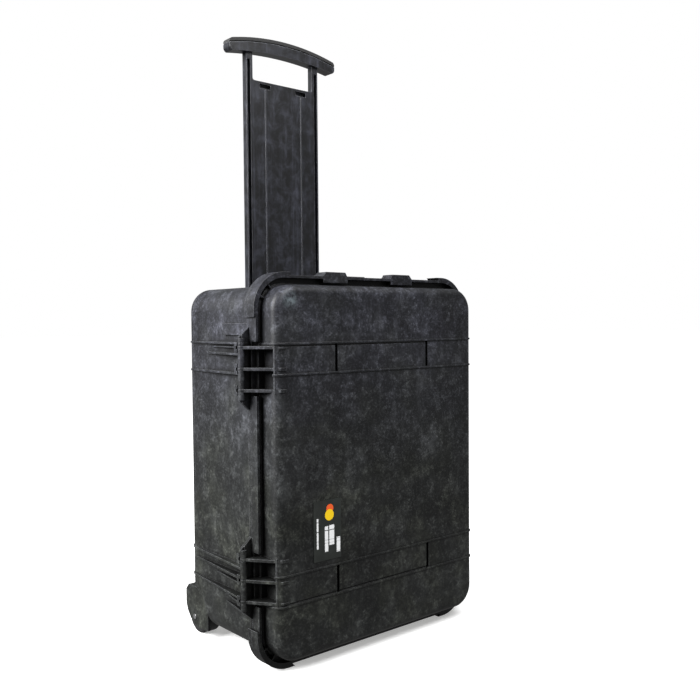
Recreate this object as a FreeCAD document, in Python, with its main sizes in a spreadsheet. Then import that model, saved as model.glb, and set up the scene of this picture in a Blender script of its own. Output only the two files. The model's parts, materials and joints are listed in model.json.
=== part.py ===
import FreeCAD, Part
import math
import os

import Sketcher

# A wheeled hard-shell carrying case for a folding drone, closed and standing on its wheel end
# with the trolley handle pulled out.
#
# Frame: +Z up, millimetres, origin on the floor under the middle of the case. The lid faces -Y,
# the hinges are on the -X side, the latches on the +X side, the trolley and wheels at +Y.

doc = FreeCAD.newDocument("drone_case")
sheet = doc.addObject("Spreadsheet::Sheet", "dims")

# alias: (value in mm or degrees, meaning)
DIMENSIONS = {
    "case_height": (561.0, "floor to the top corner bumpers"),
    "wall_half": (197.5, "half width of the shell walls at the parting face"),
    "wall_margin": (19.0, "from the bumpers' end down to the shell wall"),
    "wall_corner": (35.0, "outer corner radius of the shell walls"),
    "shell_wall": (4.0, "wall thickness of both shells"),
    "rim_half": (208.5, "half width of the rim"),
    "rim_margin": (4.5, "bumper height beyond the rim"),
    "rim_corner": (49.0, "outer corner radius of the rim"),
    "bumper_half": (211.5, "half width over the corner bumpers"),
    "bumper_corner": (53.0, "outer corner radius of the bumpers"),
    "bumper_leg": (63.5, "leg of the triangle that one bumper fills"),
    "parting": (-84.5, "y of the parting plane"),
    "parting_gap": (0.3, "clearance of each shell from the parting plane"),
    "flange_thick": (5.0, "thickness of the rim flanges"),
    "skirt_depth": (16.0, "depth of the lid's skirt"),
    "skirt_wall": (4.0, "thickness of the lid's skirt"),
    "crown_face": (-131.0, "y of the lid's flat face"),
    "crown_round": (11.0, "edge radius of the lid's face"),
    "rib_proud": (1.5, "height of the band ribs"),
    "rib_wide": (2.6, "width of the band ribs"),
    "band_outer": (180.5, "outer band ribs, from mid height"),
    "band_inner": (138.0, "inner band ribs, from mid height"),
    "base_back": (103.5, "y of the base's back face"),
    "back_round": (15.0, "edge radius of the base's back"),
    "hinge_x": (-222.0, "hinge pin axis"),
    "hinge_offset": (146.0, "hinge and latch centres from mid height"),
    "fin_pitch": (29.5, "spacing of the hinge fins"),
    "fin_thick": (4.0, "thickness of a hinge fin"),
    "eye_radius": (5.0, "radius of the lid's hinge eyes"),
    "knuckle_radius": (4.6, "radius of the base's hinge knuckles"),
    "pin_radius": (2.0, "hinge and latch pins"),
    "pin_clear": (0.05, "radial clearance of pins"),
    "latch_x": (206.0, "latch hook pivot, x"),
    "latch_y": (-40.0, "latch hook pivot, y"),
    "latch_face": (204.0, "rim face under the latches"),
    "hook_half": (23.0, "half width of a latch hook"),
    "lever_half": (28.0, "half width of a latch lever"),
    "padlock_offset": (207.5, "padlock tabs from mid height"),
    "padlock_x": (215.0, "padlock hole, x"),
    "padlock_hole": (4.5, "radius of the padlock holes"),
    "handle_pin": (3.0, "radius of the handle pins"),
    "trolley_half": (74.5, "half width of the trolley plate"),
    "trolley_back": (128.0, "y of the trolley plate's back"),
    "trolley_front": (117.0, "y of the trolley plate's front"),
    "back_reach": (132.5, "y of the guide's lips"),
    "trolley_foot": (470.0, "lower end of the trolley plate"),
    "trolley_travel": (385.0, "trolley travel"),
    "grip_half": (109.0, "half length of the trolley grip"),
    "grip_top": (965.0, "top of the trolley grip"),
    "grip_arch": (440.0, "radius of the grip's upper edge"),
    "grip_under": (612.0, "radius of the grip's lower edge"),
    "grip_high": (24.0, "height of the grip"),
    "grip_cap": (6.5, "height of the soft cap on the grip"),
    "window_half": (62.0, "half width of the hand window"),
    "window_foot": (893.0, "lower edge of the hand window"),
    "catch_y": (111.0, "trolley catch pivot, y"),
    "catch_z": (528.0, "trolley catch pivot, z"),
    "wheel_radius": (27.5, "wheel radius"),
    "wheel_y": (103.0, "wheel axle, y"),
    "wheel_in": (160.0, "inner face of the wheels"),
    "wheel_out": (186.5, "outer face of the wheels"),
    "axle_radius": (3.0, "wheel axle"),
    "well_x": (145.0, "inner side of the wheel wells"),
    "tray_front": (-82.0, "front face of the foam tray"),
    "tray_back": (58.0, "back face of the foam tray"),
}


class Size:
    """A length that carries its value and the sheet expression that drives it."""

    def __init__(self, value, text):
        self.value = float(value)
        self.text = text

    def __add__(self, other):
        other = size_of(other)
        return Size(self.value + other.value, "(%s + %s)" % (self.text, other.text))

    def __sub__(self, other):
        other = size_of(other)
        return Size(self.value - other.value, "(%s - %s)" % (self.text, other.text))

    def __mul__(self, factor):
        factor = size_of(factor)
        return Size(self.value * factor.value, "%s * %s" % (self.text, factor.text))

    def __neg__(self):
        return Size(-self.value, "-1 * %s" % self.text)

    def __radd__(self, other):
        return size_of(other) + self

    def __rsub__(self, other):
        return size_of(other) - self

    __rmul__ = __mul__


def size_of(number):
    """Wrap a plain number as a Size."""
    return number if isinstance(number, Size) else Size(number, "(%.6g)" % number)


def fill_sheet():
    """Write every driving dimension to the sheet and return them by name."""
    sizes = {}
    for row, (alias, (value, meaning)) in enumerate(DIMENSIONS.items(), start=1):
        sheet.set("A%d" % row, alias)
        sheet.set("B%d" % row, "%.6g" % value)
        sheet.set("C%d" % row, meaning)
        sheet.setAlias("B%d" % row, alias)
        sizes[alias] = Size(value, "dims." + alias)
    doc.recompute()
    return sizes


D = fill_sheet()
MID = D["case_height"] * 0.5
BASE_FACE = D["parting"] + D["parting_gap"]
LID_FACE = D["parting"] - D["parting_gap"]
FLANGE_BACK = BASE_FACE + D["flange_thick"]
LID_FLANGE = LID_FACE - D["flange_thick"]
SKIRT_FACE = LID_FACE - D["skirt_depth"]

NODES = []


def bind(item, prop, length):
    """Drive one property of an object from the sheet."""
    item.setExpression(prop, size_of(length).text)


def node(item, label):
    """Name a finished sub-part and keep it for export."""
    item.Label = label
    NODES.append(item)
    return item


# ---------------------------------------------------------------- building blocks

def box(name, low, high):
    """A block between its lowest and highest corners."""
    block = doc.addObject("Part::Box", name)
    for prop, axis, start, end in zip(("Length", "Width", "Height"), "xyz", low, high):
        bind(block, prop, size_of(end) - start)
        bind(block, "Placement.Base." + axis, start)
    return block


TURNS = {
    "X": FreeCAD.Rotation(FreeCAD.Vector(0, 1, 0), 90),
    "Y": FreeCAD.Rotation(FreeCAD.Vector(1, 0, 0), -90),
    "Z": FreeCAD.Rotation(),
}


def rod(name, axis, centre, radius, start, end):
    """A cylinder along an axis; centre holds its two other coordinates in X, Y, Z order."""
    cylinder = doc.addObject("Part::Cylinder", name)
    cylinder.Placement = FreeCAD.Placement(FreeCAD.Vector(), TURNS[axis])
    bind(cylinder, "Radius", radius)
    bind(cylinder, "Height", size_of(end) - start)
    places = dict(zip([letter for letter in "XYZ" if letter != axis], centre))
    places[axis] = start
    for letter, place in places.items():
        bind(cylinder, "Placement.Base." + letter.lower(), place)
    return cylinder


def fuse(name, parts):
    """One solid from several."""
    if len(parts) == 1:
        return parts[0]
    union = doc.addObject("Part::MultiFuse", name)
    union.Shapes = parts
    return union


def common(name, parts):
    """The space that all of the solids share."""
    shared = doc.addObject("Part::MultiCommon", name)
    shared.Shapes = parts
    return shared


def cut(name, base, tools):
    """The base less every tool."""
    result = doc.addObject("Part::Cut", name)
    result.Base = base
    result.Tool = fuse(name + "_tools", tools)
    return result


SPACE = (-260, 260, -120, 160, -5, 570)


def parted(name, solid, cells):
    """The solid as touching blocks, one for each cell (x, x, y, y, z, z) of the space."""
    blocks = []
    for label, limits in cells.items():
        x0, x1, y0, y1, z0, z1 = [far if value is None else value
                                  for value, far in zip(limits, SPACE)]
        cell = box("%s_cell_%s" % (name, label), (x0, y0, z0), (x1, y1, z1))
        blocks.append(common("%s_block_%s" % (name, label), [solid, cell]))
    joined = doc.addObject("Part::Compound", name)
    joined.Links = blocks
    return joined


HALF_TURN = FreeCAD.Rotation(FreeCAD.Vector(0, 0, 1), 180)
PLANES = {"XY": ("XY_Plane", "z"), "XZ": ("XZ_Plane", "y"), "YZ": ("YZ_Plane", "x")}


def origin_plane(body, role):
    """The body's own origin plane of that role."""
    return next(item for item in body.Origin.OriginFeatures if item.Role == role)


def pin_point(sketch, line, place, index):
    """Hold a line's start at its two driven coordinates."""
    for kind, axis, length in (("DistanceX", -2, place[0]), ("DistanceY", -1, place[1])):
        length = size_of(length)
        if abs(length.value) < 1e-9:
            sketch.addConstraint(Sketcher.Constraint("PointOnObject", line, 1, axis))
            continue
        at = sketch.addConstraint(Sketcher.Constraint(kind, -1, 1, line, 1, length.value))
        name = "%s%d" % (kind, index)
        sketch.renameConstraint(at, name)
        sketch.setExpression("Constraints." + name, length.text)


def outline_sketch(body, plane, outline):
    """A closed outline of straight lines on one of the body's origin planes."""
    sketch = body.newObject("Sketcher::SketchObject", body.Name + "_outline")
    sketch.AttachmentSupport = [(origin_plane(body, PLANES[plane][0]), "")]
    sketch.MapMode = "FlatFace"
    points = [FreeCAD.Vector(size_of(u).value, size_of(v).value, 0) for u, v in outline]
    count = len(points)
    for index in range(count):
        line = Part.LineSegment(points[index], points[(index + 1) % count])
        sketch.addGeometry(line, False)
    for index in range(count):
        joint = Sketcher.Constraint("Coincident", index, 2, (index + 1) % count, 1)
        sketch.addConstraint(joint)
    for index, place in enumerate(outline):
        pin_point(sketch, index, place, index)
    return sketch


def span(edge, letter):
    """Lowest and highest coordinate of an edge's ends along one axis."""
    places = [getattr(vertex.Point, letter) for vertex in edge.Vertexes]
    return min(places), max(places)


def round_edges(body, names, radius, suffix):
    """Fillet the named edges of the body's last feature."""
    base = body.Tip
    fillet = body.newObject("PartDesign::Fillet", body.Name + suffix)
    fillet.Base = (base, names)
    bind(fillet, "Radius", radius)
    body.Tip = fillet
    doc.recompute()


def prism(name, plane, outline, start, end, corner=None, rim=None):
    """A padded outline; corner rounds the edges along the pad, rim those of its far end."""
    body = doc.addObject("PartDesign::Body", name)
    sketch = outline_sketch(body, plane, outline)
    pad = body.newObject("PartDesign::Pad", name + "_pad")
    pad.Profile = sketch
    pad.Reversed = plane == "XZ"
    letter = PLANES[plane][1]
    depth = size_of(end) - start
    bind(pad, "Length", depth)
    bind(body, "Placement.Base." + letter, start)
    body.Tip = pad
    doc.recompute()
    if corner is not None:
        edges = enumerate(body.Tip.Shape.Edges, start=1)
        along = [at for at, edge in edges if span(edge, letter)[1] - span(edge, letter)[0] > 1e-6]
        round_edges(body, ["Edge%d" % at for at in along], corner, "_corners")
    if rim is not None:
        edges = enumerate(body.Tip.Shape.Edges, start=1)
        reach = depth.value - 1e-6
        ends = [at for at, edge in edges if min(map(abs, span(edge, letter))) > reach]
        round_edges(body, ["Edge%d" % at for at in ends], rim, "_rim")
    return body


def slab(name, half, margin, start, end, corner, rim=None):
    """A rounded rectangle across the case, centred on it, from one y to another."""
    left, right = -half, half
    low, high = size_of(margin), D["case_height"] - margin
    outline = [(left, low), (right, low), (right, high), (left, high)]
    return prism(name, "XZ", outline, start, end, corner, rim)


def front_slab(name, half, margin, start, end, corner, rim):
    """A slab whose far, rounded end faces the front, so it is made backwards and turned."""
    left, right = -half, half
    low, high = size_of(margin), D["case_height"] - margin
    outline = [(left, low), (right, low), (right, high), (left, high)]
    body = prism(name, "XZ", outline, 0, start - end, corner, rim)
    body.Placement = FreeCAD.Placement(FreeCAD.Vector(), HALF_TURN)
    bind(body, "Placement.Base.y", start)
    return body


def mirrored(low, high):
    """A pair of x spans, on the left and on the right."""
    return ((-size_of(high), -size_of(low)), (size_of(low), size_of(high)))


# ---------------------------------------------------------------- shells

def corner_masks(name, start, end):
    """Four triangles that keep only the corners of a ring."""
    reach = D["bumper_half"] + 18
    leg = D["bumper_leg"] + 36
    low, high = size_of(-18), D["case_height"] + 18
    masks = []
    for side, sign in (("left", -1), ("right", 1)):
        for level, z, turn in (("low", low, 1), ("high", high, -1)):
            outer = reach * sign
            outline = [(outer, z), (outer - leg * sign, z), (outer, z + leg * turn)]
            masks.append(prism("%s_%s_%s" % (name, side, level), "XZ", outline, start, end))
    return fuse(name + "_masks", masks)


def hinge_centres():
    """Heights of the two hinges, which are also the heights of the two latches."""
    return (("lower", MID - D["hinge_offset"]), ("upper", MID + D["hinge_offset"]))


def band_slabs(name, back, front):
    """Thin horizontal slices at the four band ribs."""
    half = D["rib_wide"] * 0.5
    slices = []
    for index, offset in enumerate((D["band_outer"], D["band_inner"])):
        for sign in (-1, 1):
            z = MID + offset * sign
            low = (-D["wall_half"] - 10, size_of(front), z - half)
            high = (D["wall_half"] + 10, size_of(back), z + half)
            slices.append(box("%s_slice_%d_%d" % (name, index, sign + 1), low, high))
    return fuse(name + "_slices", slices)


def handle_boss(name, start, end):
    """The two tapered blocks on the top rim beside the top handle."""
    foot, top = D["case_height"] - 14, D["case_height"] + 2
    rim_top = D["case_height"] - D["rim_margin"]
    blocks = []
    for side, sign in (("left", -1), ("right", 1)):
        outline = [(size_of(44 * sign), foot), (size_of(90 * sign), foot),
                   (size_of(90 * sign), rim_top), (size_of(84 * sign), top),
                   (size_of(48 * sign), top), (size_of(44 * sign), rim_top)]
        blocks.append(prism("%s_%s" % (name, side), "XZ", outline, start, end))
    return blocks


def padlock_centres():
    """Heights of the padlock tabs."""
    return (("lower", MID - D["padlock_offset"]), ("upper", MID + D["padlock_offset"]))


def padlock_tabs(name, start, end):
    """Tabs on the latch side of a rim, for a padlock through both shells."""
    tabs = []
    for level, z in padlock_centres():
        outline = [(size_of(196), z - 18), (size_of(222), z - 12), (size_of(222), z + 12),
                   (size_of(196), z + 18)]
        tabs.append(prism("%s_%s" % (name, level), "XZ", outline, start, end))
    return tabs


def padlock_drills(name):
    """Drills for the padlock holes."""
    drills = []
    for level, z in padlock_centres():
        drills.append(rod("%s_drill_%s" % (name, level), "Y", (D["padlock_x"], z),
                          D["padlock_hole"], -95, -70))
    return drills


def knuckle_parts(z, level):
    """The base's half of one hinge: a chamfered plate, knuckles, and the slots cut in them."""
    tip = D["hinge_x"] - 1.5
    half = D["fin_pitch"] + 15
    plate = prism("hinge_plate_" + level, "XZ",
                  [(size_of(-204), z - half - 17), (tip, z - half), (tip, z + half),
                   (size_of(-204), z + half + 17)], BASE_FACE, FLANGE_BACK)
    solids = [plate]
    slots = [rod("hinge_bore_" + level, "Z", (D["hinge_x"], D["parting"]),
                 D["pin_radius"] + D["pin_clear"], z - 60, z + 60)]
    solids.append(rod("knuckle_" + level, "Z", (D["hinge_x"], D["parting"]),
                      D["knuckle_radius"], z - half + 2, z + half - 2))
    for index in (-1, 0, 1):
        fin = z + D["fin_pitch"] * index
        tag = "%s_%d" % (level, index + 1)
        solids.append(box("knuckle_block_" + tag, (D["hinge_x"] - 4, FLANGE_BACK - 1, fin - 7),
                          (D["hinge_x"] + 6, FLANGE_BACK + 6, fin + 7)))
        gap = D["fin_thick"] * 0.5 + 0.4
        slots.append(box("knuckle_slot_" + tag,
                         (D["hinge_x"] - 7, D["parting"] - 7, fin - gap),
                         (D["hinge_x"] + 5.8, D["parting"] + 7, fin + gap)))
    return solids, slots


# offset from mid height: (y where the rib runs out, x reached at the flange, half thickness)
UPPER_GUSSETS = {180.5: (92, 210, 1.3), 174.8: (34, 208, 0.8), 165.5: (50, 214, 1.5),
                 138.0: (92, 210, 1.5)}
LOWER_GUSSETS = {200.0: (4, 211, 1.2), 188.5: (8, 212, 1.2), 180.5: (92, 213, 1.3),
                 161.5: (30, 209, 0.8), 152.0: (92, 212, 1.5), 138.5: (92, 210, 1.5)}


def base_gussets(level, sign):
    """Tapered ribs on the hinge side that carry the hinge plate, and a shallow pad above them."""
    ribs = []
    for offset, (back, reach, half) in (UPPER_GUSSETS if sign > 0 else LOWER_GUSSETS).items():
        z = MID + sign * offset
        outline = [(size_of(-194), size_of(back)), (size_of(-194), FLANGE_BACK),
                   (size_of(-reach), FLANGE_BACK), (size_of(-reach), size_of(-66)),
                   (size_of(-199.2), size_of(back - 6))]
        ribs.append(prism("gusset_%d_%s" % (offset, level), "XY", outline, z - half, z + half))
    if sign > 0:
        near, far = MID + 192, MID + 209
        ribs.append(prism("side_pad_" + level, "YZ",
                          [(FLANGE_BACK, near), (size_of(-6), near), (size_of(2), far),
                           (FLANGE_BACK, far)], -200.5, -190))
    return ribs


def latch_ears(z, level):
    """Two ears on the base wall that hold one latch pin, and their bore."""
    ears = []
    for side, sign in (("low", -1), ("high", 1)):
        inner = z + (D["hook_half"] + 0.5) * sign
        outer = z + D["lever_half"] * sign
        bottom, top = (outer, inner) if sign < 0 else (inner, outer)
        outline = [(size_of(192), D["latch_y"] - 13), (D["latch_x"] + 3, D["latch_y"] - 8),
                   (D["latch_x"] + 7, D["latch_y"] - 3), (D["latch_x"] + 7, D["latch_y"] + 4),
                   (D["latch_x"] + 2, D["latch_y"] + 9), (size_of(192), D["latch_y"] + 15)]
        ears.append(prism("latch_ear_%s_%s" % (level, side), "XY", outline, bottom, top))
    bore = rod("latch_bore_" + level, "Z", (D["latch_x"], D["latch_y"]),
               D["pin_radius"] + D["pin_clear"], z - 40, z + 40)
    return ears, [bore]


def latch_seat(level, z, low_y, high_y):
    """The space cleared from a rim under one latch."""
    return box("latch_seat_" + level, (D["latch_face"], low_y, z - 31), (216, high_y, z + 31))


def handle_ears(name, span_half, at, turn):
    """Two blocks with a bore each, either side of a folding handle, and the bores' drill."""
    blocks = []
    for side, sign in (("a", -1), ("b", 1)):
        inner, outer = span_half * sign, (span_half + 13) * sign
        start, end = min(inner, outer), max(inner, outer)
        outline = [(size_of(-9), size_of(-12)), (size_of(9), size_of(-12)),
                   (size_of(9), size_of(4)), (size_of(5), size_of(8)),
                   (size_of(-5), size_of(8)), (size_of(-9), size_of(4))]
        ear = prism("%s_ear_%s" % (name, side), "YZ", outline, start, end)
        blocks.append(ear)
    drill = rod(name + "_ear_drill", "X", (0, 0), D["handle_pin"] + D["pin_clear"],
                -span_half - 10, span_half + 10)
    ears = cut(name + "_ears", fuse(name + "_ear_pair", blocks), [drill])
    ears.Placement = FreeCAD.Placement(at, turn)
    return ears


TOP_PIVOT = FreeCAD.Vector(0, -66, 552.5)
TOP_TURN = FreeCAD.Rotation()
TOP_SPAN = 62.0
SIDE_PIVOT = FreeCAD.Vector(205, -66, 280.5)
SIDE_TURN = FreeCAD.Rotation(FreeCAD.Vector(0, 1, 0), 90)
SIDE_SPAN = 74.0

WELL = [(57, 5), (57, 52), (71, 70), (90, 79), (112, 79), (112, 5)]
WELL_LINER = [(53, 5), (53, 53.6), (68.4, 73.4), (88.8, 83), (112, 83), (112, 5)]
HOUSING_SCREWS = [(108, 50), (108, 70), (138, 50), (138, 70)]
VALVE_Y = 20.0
VALVE_Z = 280.5


def wells(name, outline, inner, outer):
    """One wheel-well block for each side."""
    points = [(size_of(y), size_of(z)) for y, z in outline]
    blocks = []
    for side, (start, end) in zip(("left", "right"), mirrored(inner, outer)):
        blocks.append(prism("%s_%s" % (name, side), "YZ", points, start, end))
    return blocks


def mirrored_about_mid(reach):
    """The two heights that far from mid height."""
    return MID - reach, MID + reach


def base_cells():
    """Walls, corners and back of the base as cells, so that no block wraps round the inside."""
    inner = D["wall_half"] - D["wall_corner"]
    well = D["well_x"] - 4.5
    low, high = mirrored_about_mid(D["band_outer"] + D["rib_wide"] * 0.5)
    deep = D["base_back"] - D["back_round"] - 1.5
    handle_low, handle_high = mirrored_about_mid(61)
    return {
        "back": (None, None, deep, None, None, None),
        "hinge_side": (None, -inner, None, deep, low, high),
        "latch_side_low": (inner, None, None, deep, low, handle_low),
        "latch_side_mid": (inner, None, None, deep, handle_low, handle_high),
        "latch_side_high": (inner, None, None, deep, handle_high, high),
        "wheel_end": (-well, well, None, deep, None, low),
        "handle_end": (-inner, inner, None, deep, high, None),
        "low_left": (None, -well, None, deep, None, low),
        "low_right": (well, None, None, deep, None, low),
        "high_left": (None, -inner, None, deep, high, None),
        "high_right": (inner, None, None, deep, high, None),
    }


def build_base():
    """The deep rear shell."""
    inner_half = D["wall_half"] - D["shell_wall"]
    inner_margin = D["wall_margin"] + D["shell_wall"]
    inner_corner = D["wall_corner"] - D["shell_wall"]
    wall = slab("base_wall", D["wall_half"], D["wall_margin"], BASE_FACE, D["base_back"],
                D["wall_corner"], D["back_round"])
    cavity = slab("base_cavity", inner_half, inner_margin, BASE_FACE - 0.5,
                  D["base_back"] - 5, inner_corner, D["back_round"] - 4)
    proud = slab("base_proud", D["wall_half"] + D["rib_proud"], D["wall_margin"] - D["rib_proud"],
                 BASE_FACE, D["base_back"] + D["rib_proud"], D["wall_corner"] + D["rib_proud"],
                 D["back_round"] + D["rib_proud"])
    bands = common("base_bands", [proud, band_slabs("base", D["base_back"] + 5, BASE_FACE)])
    flange = slab("base_flange", D["rim_half"], D["rim_margin"], BASE_FACE, FLANGE_BACK,
                  D["rim_corner"])
    ring = slab("base_bumper_ring", D["bumper_half"], 0, BASE_FACE, FLANGE_BACK + 2,
                D["bumper_corner"])
    bumpers = common("base_bumpers", [ring, corner_masks("base_mask", BASE_FACE, FLANGE_BACK + 2)])
    liner = common("well_liners",
                   [fuse("well_blocks", wells("well_liner", WELL_LINER, D["well_x"] - 4,
                                              D["wall_half"] + 4)),
                    slab("well_limit", D["wall_half"], D["wall_margin"], BASE_FACE,
                         D["base_back"], D["wall_corner"], D["back_round"])])
    outside = [wall, bands, flange, bumpers]
    outside += handle_boss("base_boss", BASE_FACE, FLANGE_BACK)
    outside += padlock_tabs("base_tab", BASE_FACE, FLANGE_BACK)
    outside.append(rod("valve_boss", "X", (VALVE_Y, VALVE_Z), 17, 188, 199.5))
    cuts = [cavity]
    late_cuts = padlock_drills("base") + wells("well", WELL, D["well_x"], 230)
    late_cuts.append(rod("valve_hole", "X", (VALVE_Y, VALVE_Z), 8.6, 180, 205))
    late_cuts.append(box("guide_seat", (-87, D["base_back"], 70), (87, D["base_back"] + 3, 541)))
    for side in (-1, 1):
        for x, z in HOUSING_SCREWS:
            name = "housing_screw_hole_%d_%d_%d" % (side + 1, x, z)
            late_cuts.append(rod(name, "Y", (x * side, z), 2.45, 99.8, 110))
    for level, z in hinge_centres():
        solids, slots = knuckle_parts(z, level)
        ears, bores = latch_ears(z, level)
        outside += solids + ears + base_gussets(level, 1 if level == "upper" else -1)
        late_cuts += slots + bores + [latch_seat("base_" + level, z, BASE_FACE - 1, FLANGE_BACK + 1)]
    outside.append(handle_ears("top_handle", TOP_SPAN, TOP_PIVOT, TOP_TURN))
    outside.append(handle_ears("side_handle", SIDE_SPAN, SIDE_PIVOT, SIDE_TURN))
    hollow = cut("base_hollow", fuse("base_outside", outside), cuts)
    lined = fuse("base_lined", [hollow, liner])
    return node(parted("base_blocks", cut("base_shell_body", lined, late_cuts), base_cells()),
                "base_shell")


def hinge_fin(z, tag):
    """One lid fin with its eye, from the pin over the skirt to the face of the lid."""
    half = D["fin_thick"] * 0.5
    outline = [(D["hinge_x"], D["parting"] - 4.9), (size_of(-213.5), size_of(-101.5)),
               (size_of(-190), D["crown_face"] - D["rib_proud"]),
               (size_of(-180), D["crown_face"] - D["rib_proud"]), (size_of(-180), size_of(-128)),
               (size_of(-196), size_of(-124)), (size_of(-196), LID_FACE),
               (D["hinge_x"], LID_FACE)]
    web = prism("fin_" + tag, "XY", outline, z - half, z + half)
    eye = rod("eye_" + tag, "Z", (D["hinge_x"], D["parting"]), D["eye_radius"],
              z - half, z + half)
    return [web, eye]


def corner_struts():
    """Short struts across the channel at the lid's four corners."""
    struts = []
    centre_x = D["rim_half"] - D["rim_corner"]
    for side in (-1, 1):
        for level in (-1, 1):
            for angle in (26, 54):
                name = "strut_%d_%d_%d" % (side + 1, level + 1, angle)
                strut = doc.addObject("Part::Box", name)
                strut.Length = 13
                strut.Width = 9
                strut.Height = 2
                way = math.radians(angle)
                radius = 35.0
                x = (centre_x.value + radius * math.cos(way)) * side
                z = MID.value + (MID.value - 4.5 - 49 + radius * math.sin(way)) * level
                turn = -math.degrees(math.atan2(math.sin(way) * level, math.cos(way) * side))
                spin = FreeCAD.Rotation(FreeCAD.Vector(0, 1, 0), turn)
                offset = spin.multVec(FreeCAD.Vector(0, 0, -1))
                base = FreeCAD.Vector(x, LID_FLANGE.value - 9, z) + offset
                strut.Placement = FreeCAD.Placement(base, spin)
                struts.append(strut)
    return struts


def band_grooves():
    """Slots and fine lines in the lid's two bands, and the bosses that back the slots."""
    grooves, bosses = [], []
    for level, sign in (("lower", -1), ("upper", 1)):
        inner = MID + (D["band_inner"] + D["rib_wide"] * 0.5) * sign
        outer = MID + (D["band_outer"] - D["rib_wide"] * 0.5) * sign
        low, high = (outer, inner) if sign < 0 else (inner, outer)
        for side, x in (("left", -91.5), ("right", 91.5)):
            tag = "%s_%s" % (level, side)
            grooves.append(box("band_slot_" + tag, (x - 2.4, D["crown_face"] - 3, low),
                               (x + 2.4, D["crown_face"] + 5.5, high)))
            bosses.append(box("band_boss_" + tag, (x - 7, D["crown_face"] + 2, low - 2),
                              (x + 7, D["crown_face"] + 8.5, high + 2)))
        line = outer - 2 * sign
        grooves.append(box("band_line_" + level, (-196, D["crown_face"] - 3, line - 0.9),
                           (91.5, D["crown_face"] + 1.4, line + 0.9)))
    return grooves, bosses


def fin_pockets():
    """The deep pockets between the hinge fins, and the inner bosses that close them."""
    pockets, bosses = [], []
    gap = D["fin_thick"] * 0.5
    for level, z in hinge_centres():
        bosses.append(box("fin_boss_" + level, (-196, -127, z - D["fin_pitch"] - 4),
                          (-185.5, -90, z + D["fin_pitch"] + 4)))
        for index in (-1, 0):
            low = z + D["fin_pitch"] * index + gap
            pockets.append(box("fin_pocket_%s_%d" % (level, index + 1), (-203, -124.5, low),
                               (-189.5, -94, low + D["fin_pitch"] - D["fin_thick"])))
    return pockets, bosses


def build_lid():
    """The shallow front shell."""
    inner_half = D["wall_half"] - D["shell_wall"]
    inner_margin = D["wall_margin"] + D["shell_wall"]
    crown = front_slab("lid_crown", D["wall_half"], D["wall_margin"], LID_FACE, D["crown_face"],
                       D["wall_corner"], D["crown_round"])
    cavity = front_slab("lid_cavity", inner_half, inner_margin, LID_FACE + 0.5,
                        D["crown_face"] + D["shell_wall"], D["wall_corner"] - D["shell_wall"],
                        D["crown_round"] - D["shell_wall"])
    proud = front_slab("lid_proud", D["wall_half"] + D["rib_proud"],
                       D["wall_margin"] - D["rib_proud"], LID_FACE,
                       D["crown_face"] - D["rib_proud"], D["wall_corner"] + D["rib_proud"],
                       D["crown_round"] + D["rib_proud"])
    bands = common("lid_bands", [proud, band_slabs("lid", LID_FACE, D["crown_face"] - 5)])
    flange = slab("lid_flange", D["rim_half"], D["rim_margin"], LID_FLANGE, LID_FACE,
                  D["rim_corner"])
    ledge = slab("lid_ledge", D["wall_half"] + 2.5, D["wall_margin"] - 2.5, LID_FLANGE - 5.5,
                 LID_FACE, D["wall_corner"] + 2.5)
    channel_half = D["rim_half"] - D["skirt_wall"]
    channel_margin = D["rim_margin"] + D["skirt_wall"]
    rim_block = slab("lid_rim_block", D["rim_half"], D["rim_margin"], SKIRT_FACE, LID_FACE,
                     D["rim_corner"])
    ring = slab("lid_bumper_ring", D["bumper_half"], 0, SKIRT_FACE, LID_FACE, D["bumper_corner"])
    bumpers = common("lid_bumpers", [ring, corner_masks("lid_mask", SKIRT_FACE, LID_FACE)])
    channel = slab("lid_channel", channel_half, channel_margin, SKIRT_FACE - 1, LID_FLANGE,
                   D["rim_corner"] - D["skirt_wall"])
    bays = []
    for level, z in hinge_centres():
        bays.append(box("hinge_bay_" + level, (-216, SKIRT_FACE - 1, z - D["fin_pitch"] - 8),
                        (-200.5, LID_FLANGE, z + D["fin_pitch"] + 8)))
    skirt = cut("lid_skirt", fuse("lid_rim", [rim_block, bumpers]), [channel] + bays)
    grooves, bosses = band_grooves()
    solids = [crown, bands, flange, ledge, skirt]
    solids += handle_boss("lid_boss", SKIRT_FACE, LID_FACE)
    solids += padlock_tabs("lid_tab", LID_FLANGE, LID_FACE)
    solids += corner_struts()
    late_cuts = padlock_drills("lid") + grooves
    for level, z in hinge_centres():
        solids.append(box("latch_block_" + level, (190, SKIRT_FACE, z - 30),
                          (205, LID_FACE, z + 30)))
        late_cuts.append(latch_seat("lid_" + level, z, SKIRT_FACE - 1, LID_FACE + 1))
        late_cuts.append(rod("lid_hinge_bore_" + level, "Z", (D["hinge_x"], D["parting"]),
                             D["pin_radius"] + D["pin_clear"], z - 60, z + 60))
        for index in (-1, 0, 1):
            solids += hinge_fin(z + D["fin_pitch"] * index, "%s_%d" % (level, index + 1))
    hollow = cut("lid_hollow", fuse("lid_outside", solids), [cavity])
    pockets, fin_bosses = fin_pockets()
    backed = fuse("lid_backed", [hollow] + bosses + fin_bosses)
    gasket_cut = cut("gasket_groove",
                     slab("gasket_groove_outer", 203.6, 9.4, LID_FACE - 3, LID_FACE + 1, 45),
                     [slab("gasket_groove_inner", 199.4, 13.6, LID_FACE - 4, LID_FACE + 2, 41)])
    return node(cut("lid_shell_body", backed, late_cuts + pockets + [gasket_cut]), "lid_shell")


def build_gasket():
    """The seal ring in the lid's groove."""
    outer = slab("gasket_outer", 203.4, 9.6, LID_FACE - 2.9, BASE_FACE - 0.1, 44.8)
    inner = slab("gasket_inner", 199.6, 13.4, LID_FACE - 4, BASE_FACE + 1, 41.2)
    return node(cut("gasket_ring", outer, [inner]), "lid_gasket")


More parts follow.
